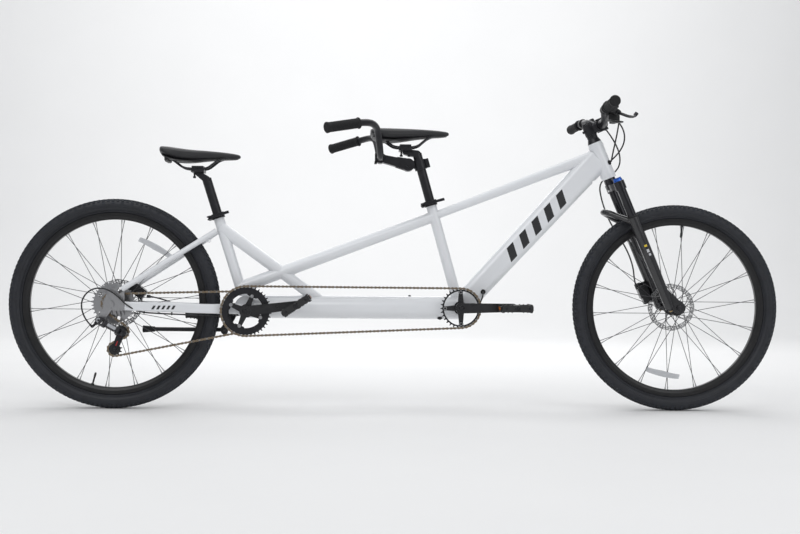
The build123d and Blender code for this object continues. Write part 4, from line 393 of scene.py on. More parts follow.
def tyre(name, ax, body, node_name):
    """Carcass with moulded sidewall rings, and rows of tread blocks."""
    t = Mesh()
    prof = [(-10.3, 293.5), (-10.6, 297.9), (-12.8, 299.0), (-14.6, 300.4), (-15.2, 303.0), (-17.6, 304.2), (-21.2, 307.2), (-24.2, 311.6), (-26.2, 317.0), (-26.9, 323.0), (-26.2, 328.6), (-24.0, 333.2), (-19.5, 337.0), (-12.0, 339.3), (-4.0, 340.3)]
    full = prof + [(0.0, 340.5)] + [(-a, r) for a, r in prof[::-1]]
    inner = [(6.5, 293.2), (8, 302), (19, 314), (22.6, 324), (18, 333), (7, 337.6), (-7, 337.6), (-18, 333), (-22.6, 324), (-19, 314), (-8, 302), (-6.5, 293.2)]
    n = 288
    ring = full + inner
    rings = []
    for i in range(n):
        a = 2 * math.pi * i / n
        c, s = math.cos(a), math.sin(a)
        rings.append([(ax[0] + r * c, y, ax[1] + r * s) for y, r in ring])
    t.mi = 1
    t.rings(rings, close=True)
    # thin raised rings moulded on both sidewalls
    for y0, r0 in ((-25.75, 315.2), (-16.3, 303.5)):
        for sg in (1, -1):
            rr = []
            for i in range(n):
                a = 2 * math.pi * i / n
                c, s = math.cos(a), math.sin(a)
                rr.append([(ax[0] + (r0 + dr) * c, sg * (y0 + dy), ax[1] + (r0 + dr) * s) for dr, dy in ((-0.7, 0.5), (-0.35, -0.45), (0.35, -0.6), (0.7, 0.2))])
            t.rings(rr, close=True)
    # tread blocks: centre pairs, shoulders and edge blocks
    t.mi = 0
    pitches = 134

    def block(a, y, r, da, dy, h, tilt=0.0, skew=0.0):
        """A tapered block standing h above r, da long round the wheel and dy wide."""
        verts = []
        for k, (sc, hh) in enumerate(((1.12, -1.6), (0.86, h))):
            for sx, sy in ((-1, -1), (1, -1), (1, 1), (-1, 1)):
                yy = y + sy * dy / 2 * sc
                aa = a + (sx * da / 2 * sc + skew * sy) / r
                rr = r + hh - tilt * (yy - y)
                verts.append((ax[0] + rr * math.cos(aa), yy + (math.copysign(0.35 * hh, y) if abs(y) > 20 else 0.0), ax[1] + rr * math.sin(aa)))
        t.add(verts, [(3, 2, 1, 0), (4, 5, 6, 7), (0, 1, 5, 4), (1, 2, 6, 5), (2, 3, 7, 6), (3, 0, 4, 7)])

    for i in range(pitches):
        a = 2 * math.pi * i / pitches
        h = math.pi / pitches
        block(a, -4.2, 340.3, 8.8, 6.6, 3.3, 0.05 * -1, 0.8)
        block(a + h, 4.2, 340.3, 8.8, 6.6, 3.3, 0.05, -0.8)
        for sg in (1, -1):
            block(a + h * (1 + 0.35 * sg), sg * 13.4, 338.6, 8.0, 6.4, 3.5, sg * 0.20, sg * 1.0)
            block(a + h * 0.25 * sg, sg * 21.2, 334.6, 8.2, 5.2, 3.7, sg * 0.62, 0.0)
            if i % 2 == 0:
                block(a + h * 0.25 * sg, sg * 25.2, 329.4, 10.0, 2.6, 1.5, sg * 1.3, 0.0)
    ob = t.obj(name, ["tread", "sidewall"], body, [node_name], smooth=28)
    return ob


tyre("front_tyre_tread", AF, "front_wheel", "front_tyre")
tyre("rear_tyre_tread", AR, "rear_wheel", "rear_tyre")

# ============================================================ rims and spokes


def spoke_ends(yl, yr, fr):
    out = []
    n = 9
    for k in range(n):
        for side, yf in ((1, yl), (-1, yr)):
            for lead in (1, -1):
                base = 2 * math.pi * (k + (0.5 if side < 0 else 0.0) + (0.25 if lead < 0 else 0.0)) / n
                rim = base + lead * math.radians(66)
                out.append((base, rim, yf + lead * 2.1, side * 3.2 + lead * 1.5, fr, side, lead))
    return out


def wheel_trim(name, ax, body, yl, yr, fr, valve_deg):
    """Nipples in the rim, elbows at the flanges, valve nut and cap."""
    t = Mesh()
    for base, rim, yh, ye, f, side, lead in spoke_ends(yl, yr, fr):
        h = np.array([ax[0] + f * math.cos(base), yh, ax[1] + f * math.sin(base)])
        e = np.array([ax[0] + 274.9 * math.cos(rim), ye, ax[1] + 274.9 * math.sin(rim)])
        d = (e - h) / np.linalg.norm(e - h)
        t.mi = 0
        t.lathe(e - d * 11.5, d, [(0, 1.15), (0.6, 1.75), (4.5, 1.75), (5.2, 2.05), (11.2, 2.05)], 10)
        t.mi = 1
        t.lathe(h + np.array([0, -0.6 * lead, 0]), (0, lead, 0), [(-1.7, 0.3), (-1.5, 1.5), (-0.9, 1.9), (0.3, 1.2)], 10)
    t.obj(name + "_nipples", ["steel", "spoke"], body, smooth=40)
    v = Mesh()
    a = math.radians(valve_deg)
    d = np.array([math.cos(a), 0, math.sin(a)])
    o = np.array([ax[0], 0, ax[1]])
    v.lathe(o + d * 275.2, -d, [(0, 5.2), (0.4, 5.6), (2.0, 5.6), (2.4, 5.0)], 12)
    v.lathe(o + d * 250.0, -d, [(0, 3.3), (0.4, 3.75), (3, 3.75), (3.2, 3.4), (4.2, 3.4), (4.4, 3.75), (11, 3.6), (14, 2.6), (14.6, 1.2)], 16)
    v.obj(name + "_valve", "plastic", body, smooth=35)


wheel_trim("front", AF, "front_wheel", 31.0, -31.0, 22.0, 85.0)
wheel_trim("rear", AR, "rear_wheel", 33.0, -17.5, 22.5, 255.0)


def rotor(name, ax, y, body, hub_profile, hub_y0, flange_ys, fr, hub_node):
    """Disc with drilled slots and curved arms, and a lathed hub shell."""
    n = 240
    g = bmesh.new()
    radii = (64.5, 66.3, 68.9, 71.4, 74.0, 76.6, 79.0)
    grid = []
    for i in range(n):
        a = 2 * math.pi * i / n
        row = []
        for k, r in enumerate(radii):
            wob = 0.85 * math.cos(12 * a) if k == len(radii) - 1 else (-0.8 * math.cos(12 * a) if k == 0 else 0.0)
            sk = a + (r - 64) * 0.0035
            row.append(g.verts.new(((ax[0] + (r + wob) * math.cos(sk)) * S, (y) * S, (ax[1] + (r + wob) * math.sin(sk)) * S)))
        grid.append(row)
    for i in range(n):
        j = (i + 1) % n
        for k in range(len(radii) - 1):
            hole = (k == 1 and i % 10 in (0, 1, 2)) or (k == 2 and i % 10 in (5, 6, 7)) or (k == 3 and i % 10 in (0, 1, 2)) or (k == 4 and i % 10 in (5, 6, 7))
            if not hole:
                g.faces.new((grid[i][k], grid[j][k], grid[j][k + 1], grid[i][k + 1]))
    bmesh.ops.recalc_face_normals(g, faces=g.faces)
    me = bpy.data.meshes.new(name)
    g.to_mesh(me)
    g.free()
    me.materials.append(M["rotor"])
    ob = bpy.data.objects.new(name, me)
    scn.collection.objects.link(ob)
    so = ob.modifiers.new("thick", "SOLIDIFY")
    so.thickness = 1.8 * S
    so.offset = 0
    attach(ob, body)
    arms = Mesh()
    for k in range(6):
        a0 = 2 * math.pi * k / 6
        left, right = [], []
        for s in range(9):
            t = s / 8
            r = 22 + 44 * t
            aa = a0 + 0.55 * t * t
            w = 3.4 - 1.2 * math.sin(math.pi * t)
            left.append((r * math.cos(aa) - w * math.sin(aa), r * math.sin(aa) + w * math.cos(aa)))
            right.append((r * math.cos(aa) + w * math.sin(aa), r * math.sin(aa) - w * math.cos(aa)))
        arms.prism(left + right[::-1], (ax[0], y - 0.9, ax[1]), (1, 0, 0), (0, 0, 1), (0, 1, 0), 1.8)
    arms.lathe((ax[0], y - 0.9, ax[1]), (0, 1, 0), [(0, 15.6), (0, 27), (1.8, 27), (1.8, 15.6)], 48, close=True)
    for k in range(6):
        a = 2 * math.pi * (k + 0.5) / 6
        arms.mi = 1
        arms.lathe((ax[0] + 22 * math.cos(a), y + 0.8, ax[1] + 22 * math.sin(a)), (0, 1, 0), [(0, 3.4), (1.5, 3.2), (2.2, 2.4), (1.2, 1.4), (1.2, 0.2)], 12)
    arms.obj(name + "_arms", ["rotor", "bolt"], body, smooth=30, bevel=0.25)
    h = Mesh()
    h.lathe((ax[0], hub_y0, ax[1]), (0, 1, 0), hub_profile, 56)
    for fy in flange_ys:
        h.lathe((ax[0], fy - 1.9, ax[1]), (0, 1, 0), [(0, fr - 6), (0, fr + 3.2), (0.6, fr + 4.3), (3.2, fr + 4.3), (3.8, fr + 3.2), (3.8, fr - 6)], 56, close=True)
    h.obj(name + "_hub_shell", "satin", body, [hub_node], smooth=30)


rotor("front_rotor", AF, 38.5, "front_wheel", [(-44, 8), (-44, 10.5), (-42, 11.6), (-34, 12.4), (-33, 17), (-29, 16), (-20, 12.8), (0, 11.8), (20, 12.8), (29, 16), (33, 22), (37.4, 23.5), (37.5, 17), (42, 12), (44, 10.5), (44, 8)], 0.0, (-31.0, 31.0), 22.0, "front_hub")
rotor("rear_rotor", AR, 52.0, "rear_wheel", [(-21, 8), (-21, 15), (-19, 20), (-15, 18), (-8, 15), (8, 14.4), (24, 15.5), (31, 19), (35, 23), (50.9, 23.5), (51, 17), (56, 12), (60.4, 10), (60.4, 8)], 0.0, (-17.5, 33.0), 22.5, "rear_hub")

# wheel reflectors, clipped between spokes
for nm, ax, body, a, b in (("rear", AR, "rear_wheel", (-851, 558), (-749, 502)), ("front", AF, "front_wheel", (835, 135), (945, 110))):
    t = Mesh()
    a, b = np.array([a[0], 0, a[1]], float), np.array([b[0], 0, b[1]], float)
    u = (b - a) / np.linalg.norm(b - a)
    mid = (a + b) / 2
    rad = mid - np.array([ax[0], 0, ax[1]])
    rad -= u * np.dot(rad, u)
    v = rad / np.linalg.norm(rad)
    ln = np.linalg.norm(b - a)
    out = []
    for s in range(13):
        x = -ln / 2 + ln * s / 12
        out.append((x, 10 - 0.0016 * x * x * 1.0))
    low = [(x, y - (20 - 5 * abs(x) / (ln / 2))) for x, y in out[::-1]]
    for sg in (1, -1):
        t.prism(out + low, mid + np.array([0, sg * 5.2 - 1.3, 0]), u, v, (0, 1, 0), 2.6)
    t.mi = 1
    inner = [(x * 0.93, y * 0.80) for x, y in out] + [(x * 0.93, y * 0.80) for x, y in low]
    for sg in (1, -1):
        t.prism(inner, mid + np.array([0, sg * 6.6 - 0.2, 0]), u, v, (0, 1, 0), 0.4)
    t.mi = 0
    for x in (-ln * 0.3, ln * 0.3):
        t.rod(mid + u * x - v * 2 + np.array([0, -4.5, 0]), mid + u * x - v * 2 + np.array([0, 4.5, 0]), 3.0, n=12)
    t.obj(nm + "_wheel_reflector", ["clear", "pale"], body, smooth=30, bevel=0.5)

# =================================================================== chains


def pitch_r(t):
    return 12.7 / (2 * math.sin(math.pi / t))


def belt(circles, step=2.0):
    n = len(circles)
    tang = []
    for i in range(n):
        x1, z1, r1, s1 = circles[i]
        x2, z2, r2, s2 = circles[(i + 1) % n]
        dx, dz = x2 - x1, z2 - z1
        dd = dx * dx + dz * dz
        dl = s2 * r2 - s1 * r1
        ln = math.sqrt(dd - dl * dl)
        d = ((ln * dx - dl * dz) / dd, (ln * dz + dl * dx) / dd)
        rn = (d[1], -d[0])
        tang.append(((x1 - s1 * r1 * rn[0], z1 - s1 * r1 * rn[1]), (x2 - s2 * r2 * rn[0], z2 - s2 * r2 * rn[1])))
    out = []
    for i in range(n):
        x, z, r, s = circles[i]
        pin, pout = tang[i - 1][1], tang[i][0]
        a0 = math.atan2(pin[1] - z, pin[0] - x)
        a1 = math.atan2(pout[1] - z, pout[0] - x)
        if s > 0:
            while a1 > a0:
                a1 -= 2 * math.pi
        else:
            while a1 < a0:
                a1 += 2 * math.pi
        k = max(3, int(abs(a1 - a0) * r / step))
        for j in range(k + 1):
            a = a0 + (a1 - a0) * j / k
            out.append((x + r * math.cos(a), z + r * math.sin(a)))
    return out


def chain(name, circles, y, node_name):
    pts = np.array(belt(circles))
    closed = np.vstack([pts, pts[:1]])
    seg = np.linalg.norm(np.diff(closed, axis=0), axis=1)
    cum = np.concatenate([[0], np.cumsum(seg)])
    count = int(round(cum[-1] / 12.7))
    count += count % 2
    pins = [(np.interp(cum[-1] * i / count, cum, closed[:, 0]), np.interp(cum[-1] * i / count, cum, closed[:, 1])) for i in range(count)]
    t = Mesh()
    for i in range(count):
        a, b = np.array(pins[i]), np.array(pins[(i + 1) % count])
        d = b - a
        ln = np.linalg.norm(d)
        d /= ln
        nrm = np.array([-d[1], d[0]])
        outline = []
        for c, sgn in ((b, 1), (a, -1)):
            for k in range(9):
                th = math.radians(-68 + 136 * k / 8)
                rr = 4.1
                outline.append(c + d * (sgn * rr * math.cos(th)) + nrm * (sgn * rr * math.sin(th)))
            outline.append((a + b) / 2 + nrm * (2.5 if sgn > 0 else -2.5))
        outer = i % 2 == 0
        t.mi = 0 if outer else 1
        for off in ((2.55, 3.45) if outer else (1.6, 2.45), (-3.45, -2.55) if outer else (-2.45, -1.6)):
            t.prism([(p[0], p[1]) for p in outline], (0, y + off[0], 0), (1, 0, 0), (0, 0, 1), (0, 1, 0), off[1] - off[0])
        t.mi = 2
        t.lathe((a[0], y - 3.9, a[1]), (0, 1, 0), [(0, 1.2), (0.3, 1.75), (0.6, 1.8), (2.3, 1.8), (2.31, 3.85), (5.49, 3.85), (5.5, 1.8), (7.2, 1.8), (7.5, 1.75), (7.8, 1.2)], 12)
    return t.obj(name, ["chain_out", "chain_in", "pin"], "frame", [node_name], smooth=30)


GD, TN = (-896.0, 254.0), (-918.0, 197.0)
chain("timing_chain_links", [(BR[0], BR[1], pitch_r(40), 1), (BF[0], BF[1], pitch_r(32), 1)], -60.0, "timing_chain")
chain("drive_chain_links", [(AR[0], AR[1], pitch_r(16), 1), (BR[0], BR[1], pitch_r(32), 1), (TN[0], TN[1], pitch_r(11), 1), (GD[0], GD[1], pitch_r(11), -1)], -52.0, "drive_chain")

# =================================================================== saddles
SECT = ((0.0, 10.0, 51.5, 44.0), (6, 14.0, 54.8, 41.0), (14, 16.6, 56.2, 39.0), (34, 19.0, 58.4, 37.0), (60, 22.0, 60.2, 35.0), (85, 25.5, 61.4, 32.0), (110, 30.5, 62.0, 29.0), (132, 37.5, 62.1, 25.5), (155, 46.5, 62.0, 22.0), (180, 57.0, 61.8, 19.0), (205, 66.0, 61.6, 17.5), (228, 69.0, 61.2, 19.5), (246, 66.0, 60.0, 24.0), (257, 56.0, 58.4, 30.0), (262.5, 42.0, 56.4, 36.0))


def saddle(name, nose_x, rail_z, tail_up, pitch_deg, body, node_name):
    """Foam-padded cover on a moulded base, with a centre channel, stitched panels and rails."""
    cx = nose_x - 148.0
    p = math.radians(pitch_deg)

    def place(x, y, z):
        dx, dz = x - cx, z - rail_z
        return (cx + dx * math.cos(p) + dz * math.sin(p), y, rail_z - dx * math.sin(p) + dz * math.cos(p))

    def up(d):
        return tail_up * max(0.0, (d - 150) / 112.0) ** 1.5

    cover = Mesh()
    rings = []
    nt = 36
    for d, hw, top, bot in SECT:
        u = up(d)
        ring = []
        for k in range(nt):
            th = 2 * math.pi * k / nt
            c, s = math.cos(th), math.sin(th)
            # full shoulders that roll over to a tucked-in lower edge
            y = hw * math.copysign(abs(c) ** 0.72, c)
            if s >= 0:
                z = bot + (top - bot) * (0.42 + 0.58 * s ** 0.62)
                crown = 1.5 * (1 - (y / max(hw, 1)) ** 2)
                z += crown - 1.5
                if 70 < d < 250:
                    w = math.sin(math.pi * (d - 70) / 180)
                    z -= 3.4 * w * math.exp(-(y / 7.5) ** 2) * s
            else:
                z = bot + (top - bot) * 0.42 * (1 - (-s) ** 0.9)
                y *= 1 - 0.13 * (-s)
            ring.append(place(nose_x - d, y, rail_z + u + z))
        rings.append(ring)
    cover.rings(rings)
    nr = len(SECT)
    ob = cover.obj(name + "_cover", ["leather", "leather_side"], None, smooth=180, subdiv=2)
    for f in ob.data.polygons:
        if len(f.vertices) != 4:
            continue
        j = min(i % nt for i in f.vertices)
        if f.vertices[0] % nt > nt // 2 or f.vertices[2] % nt > nt // 2:
            f.material_index = 1
    ob.modifiers["round"].subdivision_type = "CATMULL_CLARK"
    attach(ob, body)
    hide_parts(node_name)
    # stitched seams: one down each side of the top panel
    st = Mesh()
    for sg in (1, -1):
        line = []
        for d in np.linspace(24, 250, 150):
            hw = np.interp(d, [s[0] for s in SECT], [s[1] for s in SECT])
            top = np.interp(d, [s[0] for s in SECT], [s[2] for s in SECT])
            bot = np.interp(d, [s[0] for s in SECT], [s[3] for s in SECT])
            c = 0.80
            s_ = math.sqrt(1 - c * c)
            y = sg * hw * c ** 0.72
            z = bot + (top - bot) * (0.42 + 0.58 * s_ ** 0.62) + 1.5 * (1 - (y / hw) ** 2) - 1.5
            line.append(np.array(place(nose_x - d, y * 0.988, rail_z + up(d) + z - 0.15)))
        cum = np.concatenate([[0], np.cumsum([np.linalg.norm(line[i + 1] - line[i]) for i in range(len(line) - 1)])])
        arr = np.array(line)
        pos = 0.0
        while pos + 3.0 < cum[-1]:
            a = np.array([np.interp(pos, cum, arr[:, k]) for k in range(3)])
            b = np.array([np.interp(pos + 2.7, cum, arr[:, k]) for k in range(3)])
            mdl = (a + b) / 2 + np.array([0, 0, 0.38])
            st.tube([a, mdl, b], [0.30, 0.42, 0.30], n=6)
            pos += 4.0
    st.obj(name + "_stitching", "thread", body, smooth=60)
    # moulded base with a rolled lip, seen below the cover
    base = Mesh()
    rings = []
    for d, hw, top, bot in SECT[1:-1]:
        u = up(d)
        ring = []
        for k in range(24):
            th = 2 * math.pi * k / 24
            c, s = math.cos(th), math.sin(th)
            ring.append(place(nose_x - d, 0.86 * hw * math.copysign(abs(c) ** 0.8, c), rail_z + u + bot + 2.5 + 4.6 * s))
        rings.append(ring)
    base.rings(rings)
    base.obj(name + "_base", "plastic", body, smooth=60, subdiv=1)
    # two rails, and the bridge that holds their tails
    rl = Mesh()
    for sg in (1, -1):
        pts = [(nose_x - 34, sg * 12, rail_z + 42), (nose_x - 52, sg * 16, rail_z + 39), (nose_x - 72, sg * 20, rail_z + 31), (nose_x - 88, sg * 21.5, rail_z + 18), (nose_x - 103, sg * 22, rail_z + 6), (nose_x - 122, sg * 22, rail_z + 0.4), (nose_x - 145, sg * 22, rail_z - 0.3), (nose_x - 168, sg * 22, rail_z - 0.6), (nose_x - 184, sg * 23, rail_z + 2.2), (nose_x - 195, sg * 25, rail_z + 8), (nose_x - 214, sg * 27.5, rail_z + 21), (nose_x - 233, sg * 30, rail_z + 31)]
        fine = []
        for i in range(len(pts) - 1):
            p0, p1, p2, p3 = (np.array(pts[max(0, min(len(pts) - 1, i + k))], float) for k in (-1, 0, 1, 2))
            for t in np.linspace(0, 1, 6)[:-1]:
                fine.append(0.5 * ((2 * p1) + (-p0 + p2) * t + (2 * p0 - 5 * p1 + 4 * p2 - p3) * t * t + (-p0 + 3 * p1 - 3 * p2 + p3) * t ** 3))
        fine.append(np.array(pts[-1], float))
        rl.tube([place(*q) for q in fine], 3.5, n=16)
    rl.obj(name + "_rails", "bolt", body, smooth=60)
    br = Mesh()
    o = place(nose_x - 238, 0, rail_z + 28)
    br.prism([(-44, -7), (-30, -11), (30, -11), (44, -7), (46, 2), (34, 7), (-34, 7), (-46, 2)], (o[0] - 5, 0, o[2]), (0, 1, 0), (math.sin(p), 0, math.cos(p)), (1, 0, 0), 11)
    o = place(nose_x - 40, 0, rail_z + 41)
    br.prism([(-17, -5), (17, -5), (15, 4), (-15, 4)], (o[0] - 7, 0, o[2]), (0, 1, 0), (0, 0, 1), (1, 0, 0), 16)
    br.obj(name + "_rail_holders", "plastic", body, smooth=30, bevel=1.6)


saddle("front_saddle", 166.0, 868.5, 0.0, 0.6, "front_post", "front_saddle")
saddle("rear_saddle", -524.5, 789.0, 10.0, 2.6, "rear_post", "rear_saddle")

# ============================================================== bars and grips


def fine_line(pts, k=8):
    """Smooth line through the given points."""
    pts = [np.array(p, float) for p in pts]
    out = []
    for i in range(len(pts) - 1):
        p0, p1, p2, p3 = (pts[max(0, min(len(pts) - 1, i + j))] for j in (-1, 0, 1, 2))
        for t in np.linspace(0, 1, k + 1)[:-1]:
            out.append(0.5 * ((2 * p1) + (-p0 + p2) * t + (2 * p0 - 5 * p1 + 4 * p2 - p3) * t * t + (-p0 + 3 * p1 - 3 * p2 + p3) * t ** 3))
    out.append(pts[-1])
    return out


def grip(t, a, b, r, inner_flange, end_r):
    """Ribbed rubber grip from a to b, with a flange inboard and a domed end cap."""
    a, b = np.array(a, float), np.array(b, float)
    ln = np.linalg.norm(b - a)
    prof = [(0, r - 3.2), (0.2, inner_flange - 0.8), (1.0, inner_flange), (3.2, inner_flange), (4.2, inner_flange - 1.0), (5.4, r + 0.2), (9, r)]
    d = 11.0
    while d < ln - 16:
        prof += [(d, r), (d + 0.55, r - 0.75), (d + 1.35, r - 0.75), (d + 1.9, r)]
        d += 3.9
    prof += [(ln - 10, r), (ln - 7, r + 0.9), (ln - 3, end_r), (ln - 0.8, end_r), (ln + 0.6, end_r - 1.4), (ln + 1.2, end_r - 5.0), (ln + 1.0, 3.0), (ln + 0.4, 0.2)]
    t.lathe(a, b - a, prof, 48)


BAR_X, BAR_Z = 41.2, 57.5
hb = [(BAR_X, 54, BAR_Z + 0.2), (40.6, 72, 61.6), (39, 92, 69.6), (37.2, 110, 78.6), (35.4, 128, 85.4), (34, 145, 89.2), (32.5, 164, 91.5), (30.5, 200, 92.7), (28.5, 240, 93.5), (25.5, 295, 94.5), (22.9, 342, 95.2)]
t = Mesh()
half = fine_line([fl(*p) for p in hb], 6)
other = [fl(p[0], -p[1], p[2]) for p in hb[::-1]]
t.tube(fine_line(other, 6), 11.1, n=28)
t.tube(half, 11.1, n=28)
t.lathe(fl(BAR_X, -56, BAR_Z), (0, 1, 0), [(0, 11.0), (4, 11.3), (12, 13.6), (20, 15.5), (26, 15.88), (86, 15.88), (92, 15.5), (100, 13.6), (108, 11.3), (112, 11.0)], 40)
t.obj("handlebar_tube", "satin", "steering", ["handlebar"], smooth=40)
t = Mesh()
for sg in (1, -1):
    grip(t, fl(28.9, sg * 225, 93.2), fl(22.9, sg * 345.4, 95.2), 15.6, 18.4, 17.3)
t.obj("handlebar_grips", "rubber", "steering", smooth=50)
t = Mesh()
for sg in (1, -1):
    # collars that pinch each grip at its inner end, with a small screw
    t.mi = 0
    t.lathe(fl(29.2, sg * 218.4, 93.1), (0, sg, 0), [(0, 12), (0, 15.2), (0.6, 15.9), (5.6, 15.9), (6.2, 15.2), (6.2, 12)], 40)
    t.mi = 1
    t.lathe(fl(44.6, sg * 221.4, 90.0), fv(1, 0, -0.2), [(0, 2.6), (1.4, 2.6), (1.8, 2.2), (1.0, 1.2), (1.0, 0.2)], 12)
t.obj("grip_collars", ["satin", "bolt"], "steering", smooth=35)

sb = [(-61.2, 18, 832.0), (-61.3, 34, 832.0), (-61.8, 50, 834.0), (-63.4, 70, 844.0), (-66.2, 98, 863.8), (-70.2, 124, 886.6), (-74.6, 147, 905.5), (-80.2, 165, 915.6), (-90.0, 187, 921.4), (-103, 207, 922.2), (-120, 225.5, 919.8), (-140, 239.4, 915.6), (-170, 257.4, 908.4), (-228, 291.6, 894.6)]
t = Mesh()
for sg in (1, -1):
    t.tube(fine_line([(p[0], sg * p[1], p[2]) for p in sb], 6), 11.1, n=28)
t.lathe((-61.2, -42, 832), (0, 1, 0), [(0, 11.0), (6, 11.4), (14, 12.5), (18, 12.7), (66, 12.7), (70, 12.5), (78, 11.4), (84, 11.0)], 40)
t.obj("stoker_bar_tube", "satin", "stoker_arm", ["stoker_bar"], smooth=40)
t = Mesh()
for sg in (1, -1):
    grip(t, (-133.4, sg * 235.7, 916.9), (-233.0, sg * 294.8, 893.4), 15.8, 18.0, 17.4)
t.obj("stoker_bar_grips", "rubber", "stoker_arm", smooth=50)

# --------------------------------------------- details on the controls and stem
LV_AX = (0.877, 0.0, 0.480)
t = Mesh()
for sg in (1, -1):
    t.mi = 0
    # lid of each fluid reservoir, with two countersunk screws
    o = fl(52, sg * 160, 92.4)
    u, v, w = fv(1, 0, 0), np.array([0, 1, 0]), fv(0, 0, 1)
    ring = [(x * 10.2, y * 23) for x, y in ((-1, -0.86), (-0.8, -1), (0.8, -1), (1, -0.86), (1, 0.86), (0.8, 1), (-0.8, 1), (-1, 0.86))]
    t.prism(ring, o, u, v, w, 2.2)
    t.mi = 1
    for yy in (-17, 17):
        t.lathe(o + w * 1.9 + np.array([0, yy, 0]), w, [(0, 2.7), (0.7, 2.7), (0.8, 2.2), (0.1, 0.9), (0.1, 0.2)], 14)
    # clamp bolt under each lever band, and the pivot pin heads
    t.lathe(fl(31, sg * 183, 73.5), -w, [(0, 4.4), (2.6, 4.4), (3.2, 3.8), (1.4, 2.2), (1.4, 0.2)], 16)
    pv = fl(58, sg * 190, 66)
    ax3 = fv(*LV_AX)
    for q in (1, -1):
        t.lathe(pv + ax3 * q * 9.2, ax3 * q, [(0, 4.0), (0.9, 4.0), (1.5, 3.4), (0.9, 1.7), (0.9, 0.2)], 16)
    # banjo and hose sleeve at the inner end of the cylinder
    t.mi = 2
    t.lathe(fl(50.4, sg * 121, 75.6), (0, -sg, 0), [(0, 5.6), (2, 5.8), (2.4, 4.8), (7, 4.6), (8, 3.6), (13, 3.3), (14, 2.7)], 20)
t.obj("control_details", ["plastic", "bolt", "rubber"], "steering", smooth=35, bevel=0.3)

t = Mesh()
u, v, w = fv(0.88, 0, 0.47), np.array([0, 1, 0]), fv(-0.47, 0, 0.88)
# gear window on the shifter's face
o = fl(70, -176, 92)
t.mi = 0
t.prism([(-9, -12), (-7, -14), (7, -14), (9, -12), (9, 12), (7, 14), (-7, 14), (-9, 12)], fl(62, -176, 94.5), u, v, w, 1.6)
t.mi = 1
t.prism([(-6, -9.5), (6, -9.5), (6, 9.5), (-6, 9.5)], fl(62, -176, 94.5) + w * 1.6, u, v, w, 0.35)
t.mi = 2
for k in range(7):
    t.prism([(-2.2, -8.2 + k * 2.6), (2.2, -8.2 + k * 2.6), (2.2, -7.5 + k * 2.6), (-2.2, -7.5 + k * 2.6)], fl(62, -176, 94.5) + w * 1.95, u, v, w, 0.12)
t.mi = 3
bt = fl(14, -250, 95)
t.obj("shifter_window", ["plastic", "pale", "bolt"], "steering", smooth=35, bevel=0.3)

# stem face bolts, top-cap bolt, and two bolts at the back of the stem
t = Mesh()
for y in (-16, 16):
    for z in (-19.4, 19.4):
        t.lathe(fl(BAR_X + 15.0, y, BAR_Z + z), fv(1, 0, 0), [(0, 4.15), (0.6, 4.15), (1.0, 3.7), (-1.6, 2.3), (-1.6, 0.2)], 6 * 4)
t.lathe(fl(0, 0, 79.0), fv(0, 0, 1), [(0, 6.5), (1.2, 6.5), (1.8, 5.6), (0.4, 3.0), (0.4, 0.2)], 24)
for y in (-9, 9):
    t.lathe(fl(-20.5, y, 55), fv(-1, 0, 0), [(-3, 4.4), (1.0, 4.4), (1.5, 3.9), (-0.6, 2.3), (-0.6, 0.2)], 20)
t.obj("stem_bolts", "bolt", "steering", smooth=35)

# ============================================================ fork details
t = Mesh()
for sg in (1, -1):
    # wiper seals on the sliders
    t.lathe(fl(10, sg * 60, -268.5), fv(0, 0, 1), [(0, 18.2), (0.8, 18.9), (3.4, 18.9), (4.2, 17.8), (5.2, 17.0), (6.4, 15.6), (6.4, 14.62), (0, 14.62)], 48, close=True)
t.obj("fork_wiper_seals", "rubber", "fork_slider", smooth=35)
t = Mesh()
for sg in (1, -1):
    t.mi = 0
    t.lathe(fl(10, sg * 60, -600.5), fv(0, 0, -1), [(-2, 6.2), (0, 6.2), (1.8, 6.0), (2.6, 5.0), (1.0, 3.0), (1.0, 0.2)], 6 if sg > 0 else 24)
    t.mi = 1
    # axle end caps
    t.lathe((AF[0], sg * 67.8, AF[1]), (0, sg, 0), [(0, 9.6), (1.6, 9.4), (3.0, 8.2), (4.2, 6.0), (4.2, 3.0), (2.8, 2.6), (2.8, 0.2)], 36)
t.obj("fork_end_bolts", ["brass", "bolt"], "fork_slider", smooth=35)
# small plain marks on the right leg
t = Mesh()
for k, (z, h, mi) in enumerate(((-365, 7, 0), (-381, 11, 1), (-396, 8, 1))):
    t.mi = mi
    pts = []
    for s in (0, 1):
        zz = z - h * s
        pts.append([fl(10 + 18.05 * math.sin(a), -60 - 18.05 * math.cos(a), zz) for a in np.linspace(-0.30 + 0.1 * k, 0.22 + 0.05 * k, 6)])
    ring = pts[0] + pts[1][::-1]
    low = [p for p in ring]
    n = 6
    base = len(t.v)
    t.add(pts[0] + pts[1], [(i, i + 1, n + i + 1, n + i) for i in range(n - 1)])
t.obj("fork_leg_marks", ["yellow", "pale"], "fork_slider", smooth=60)

# ==================================================================== pedals


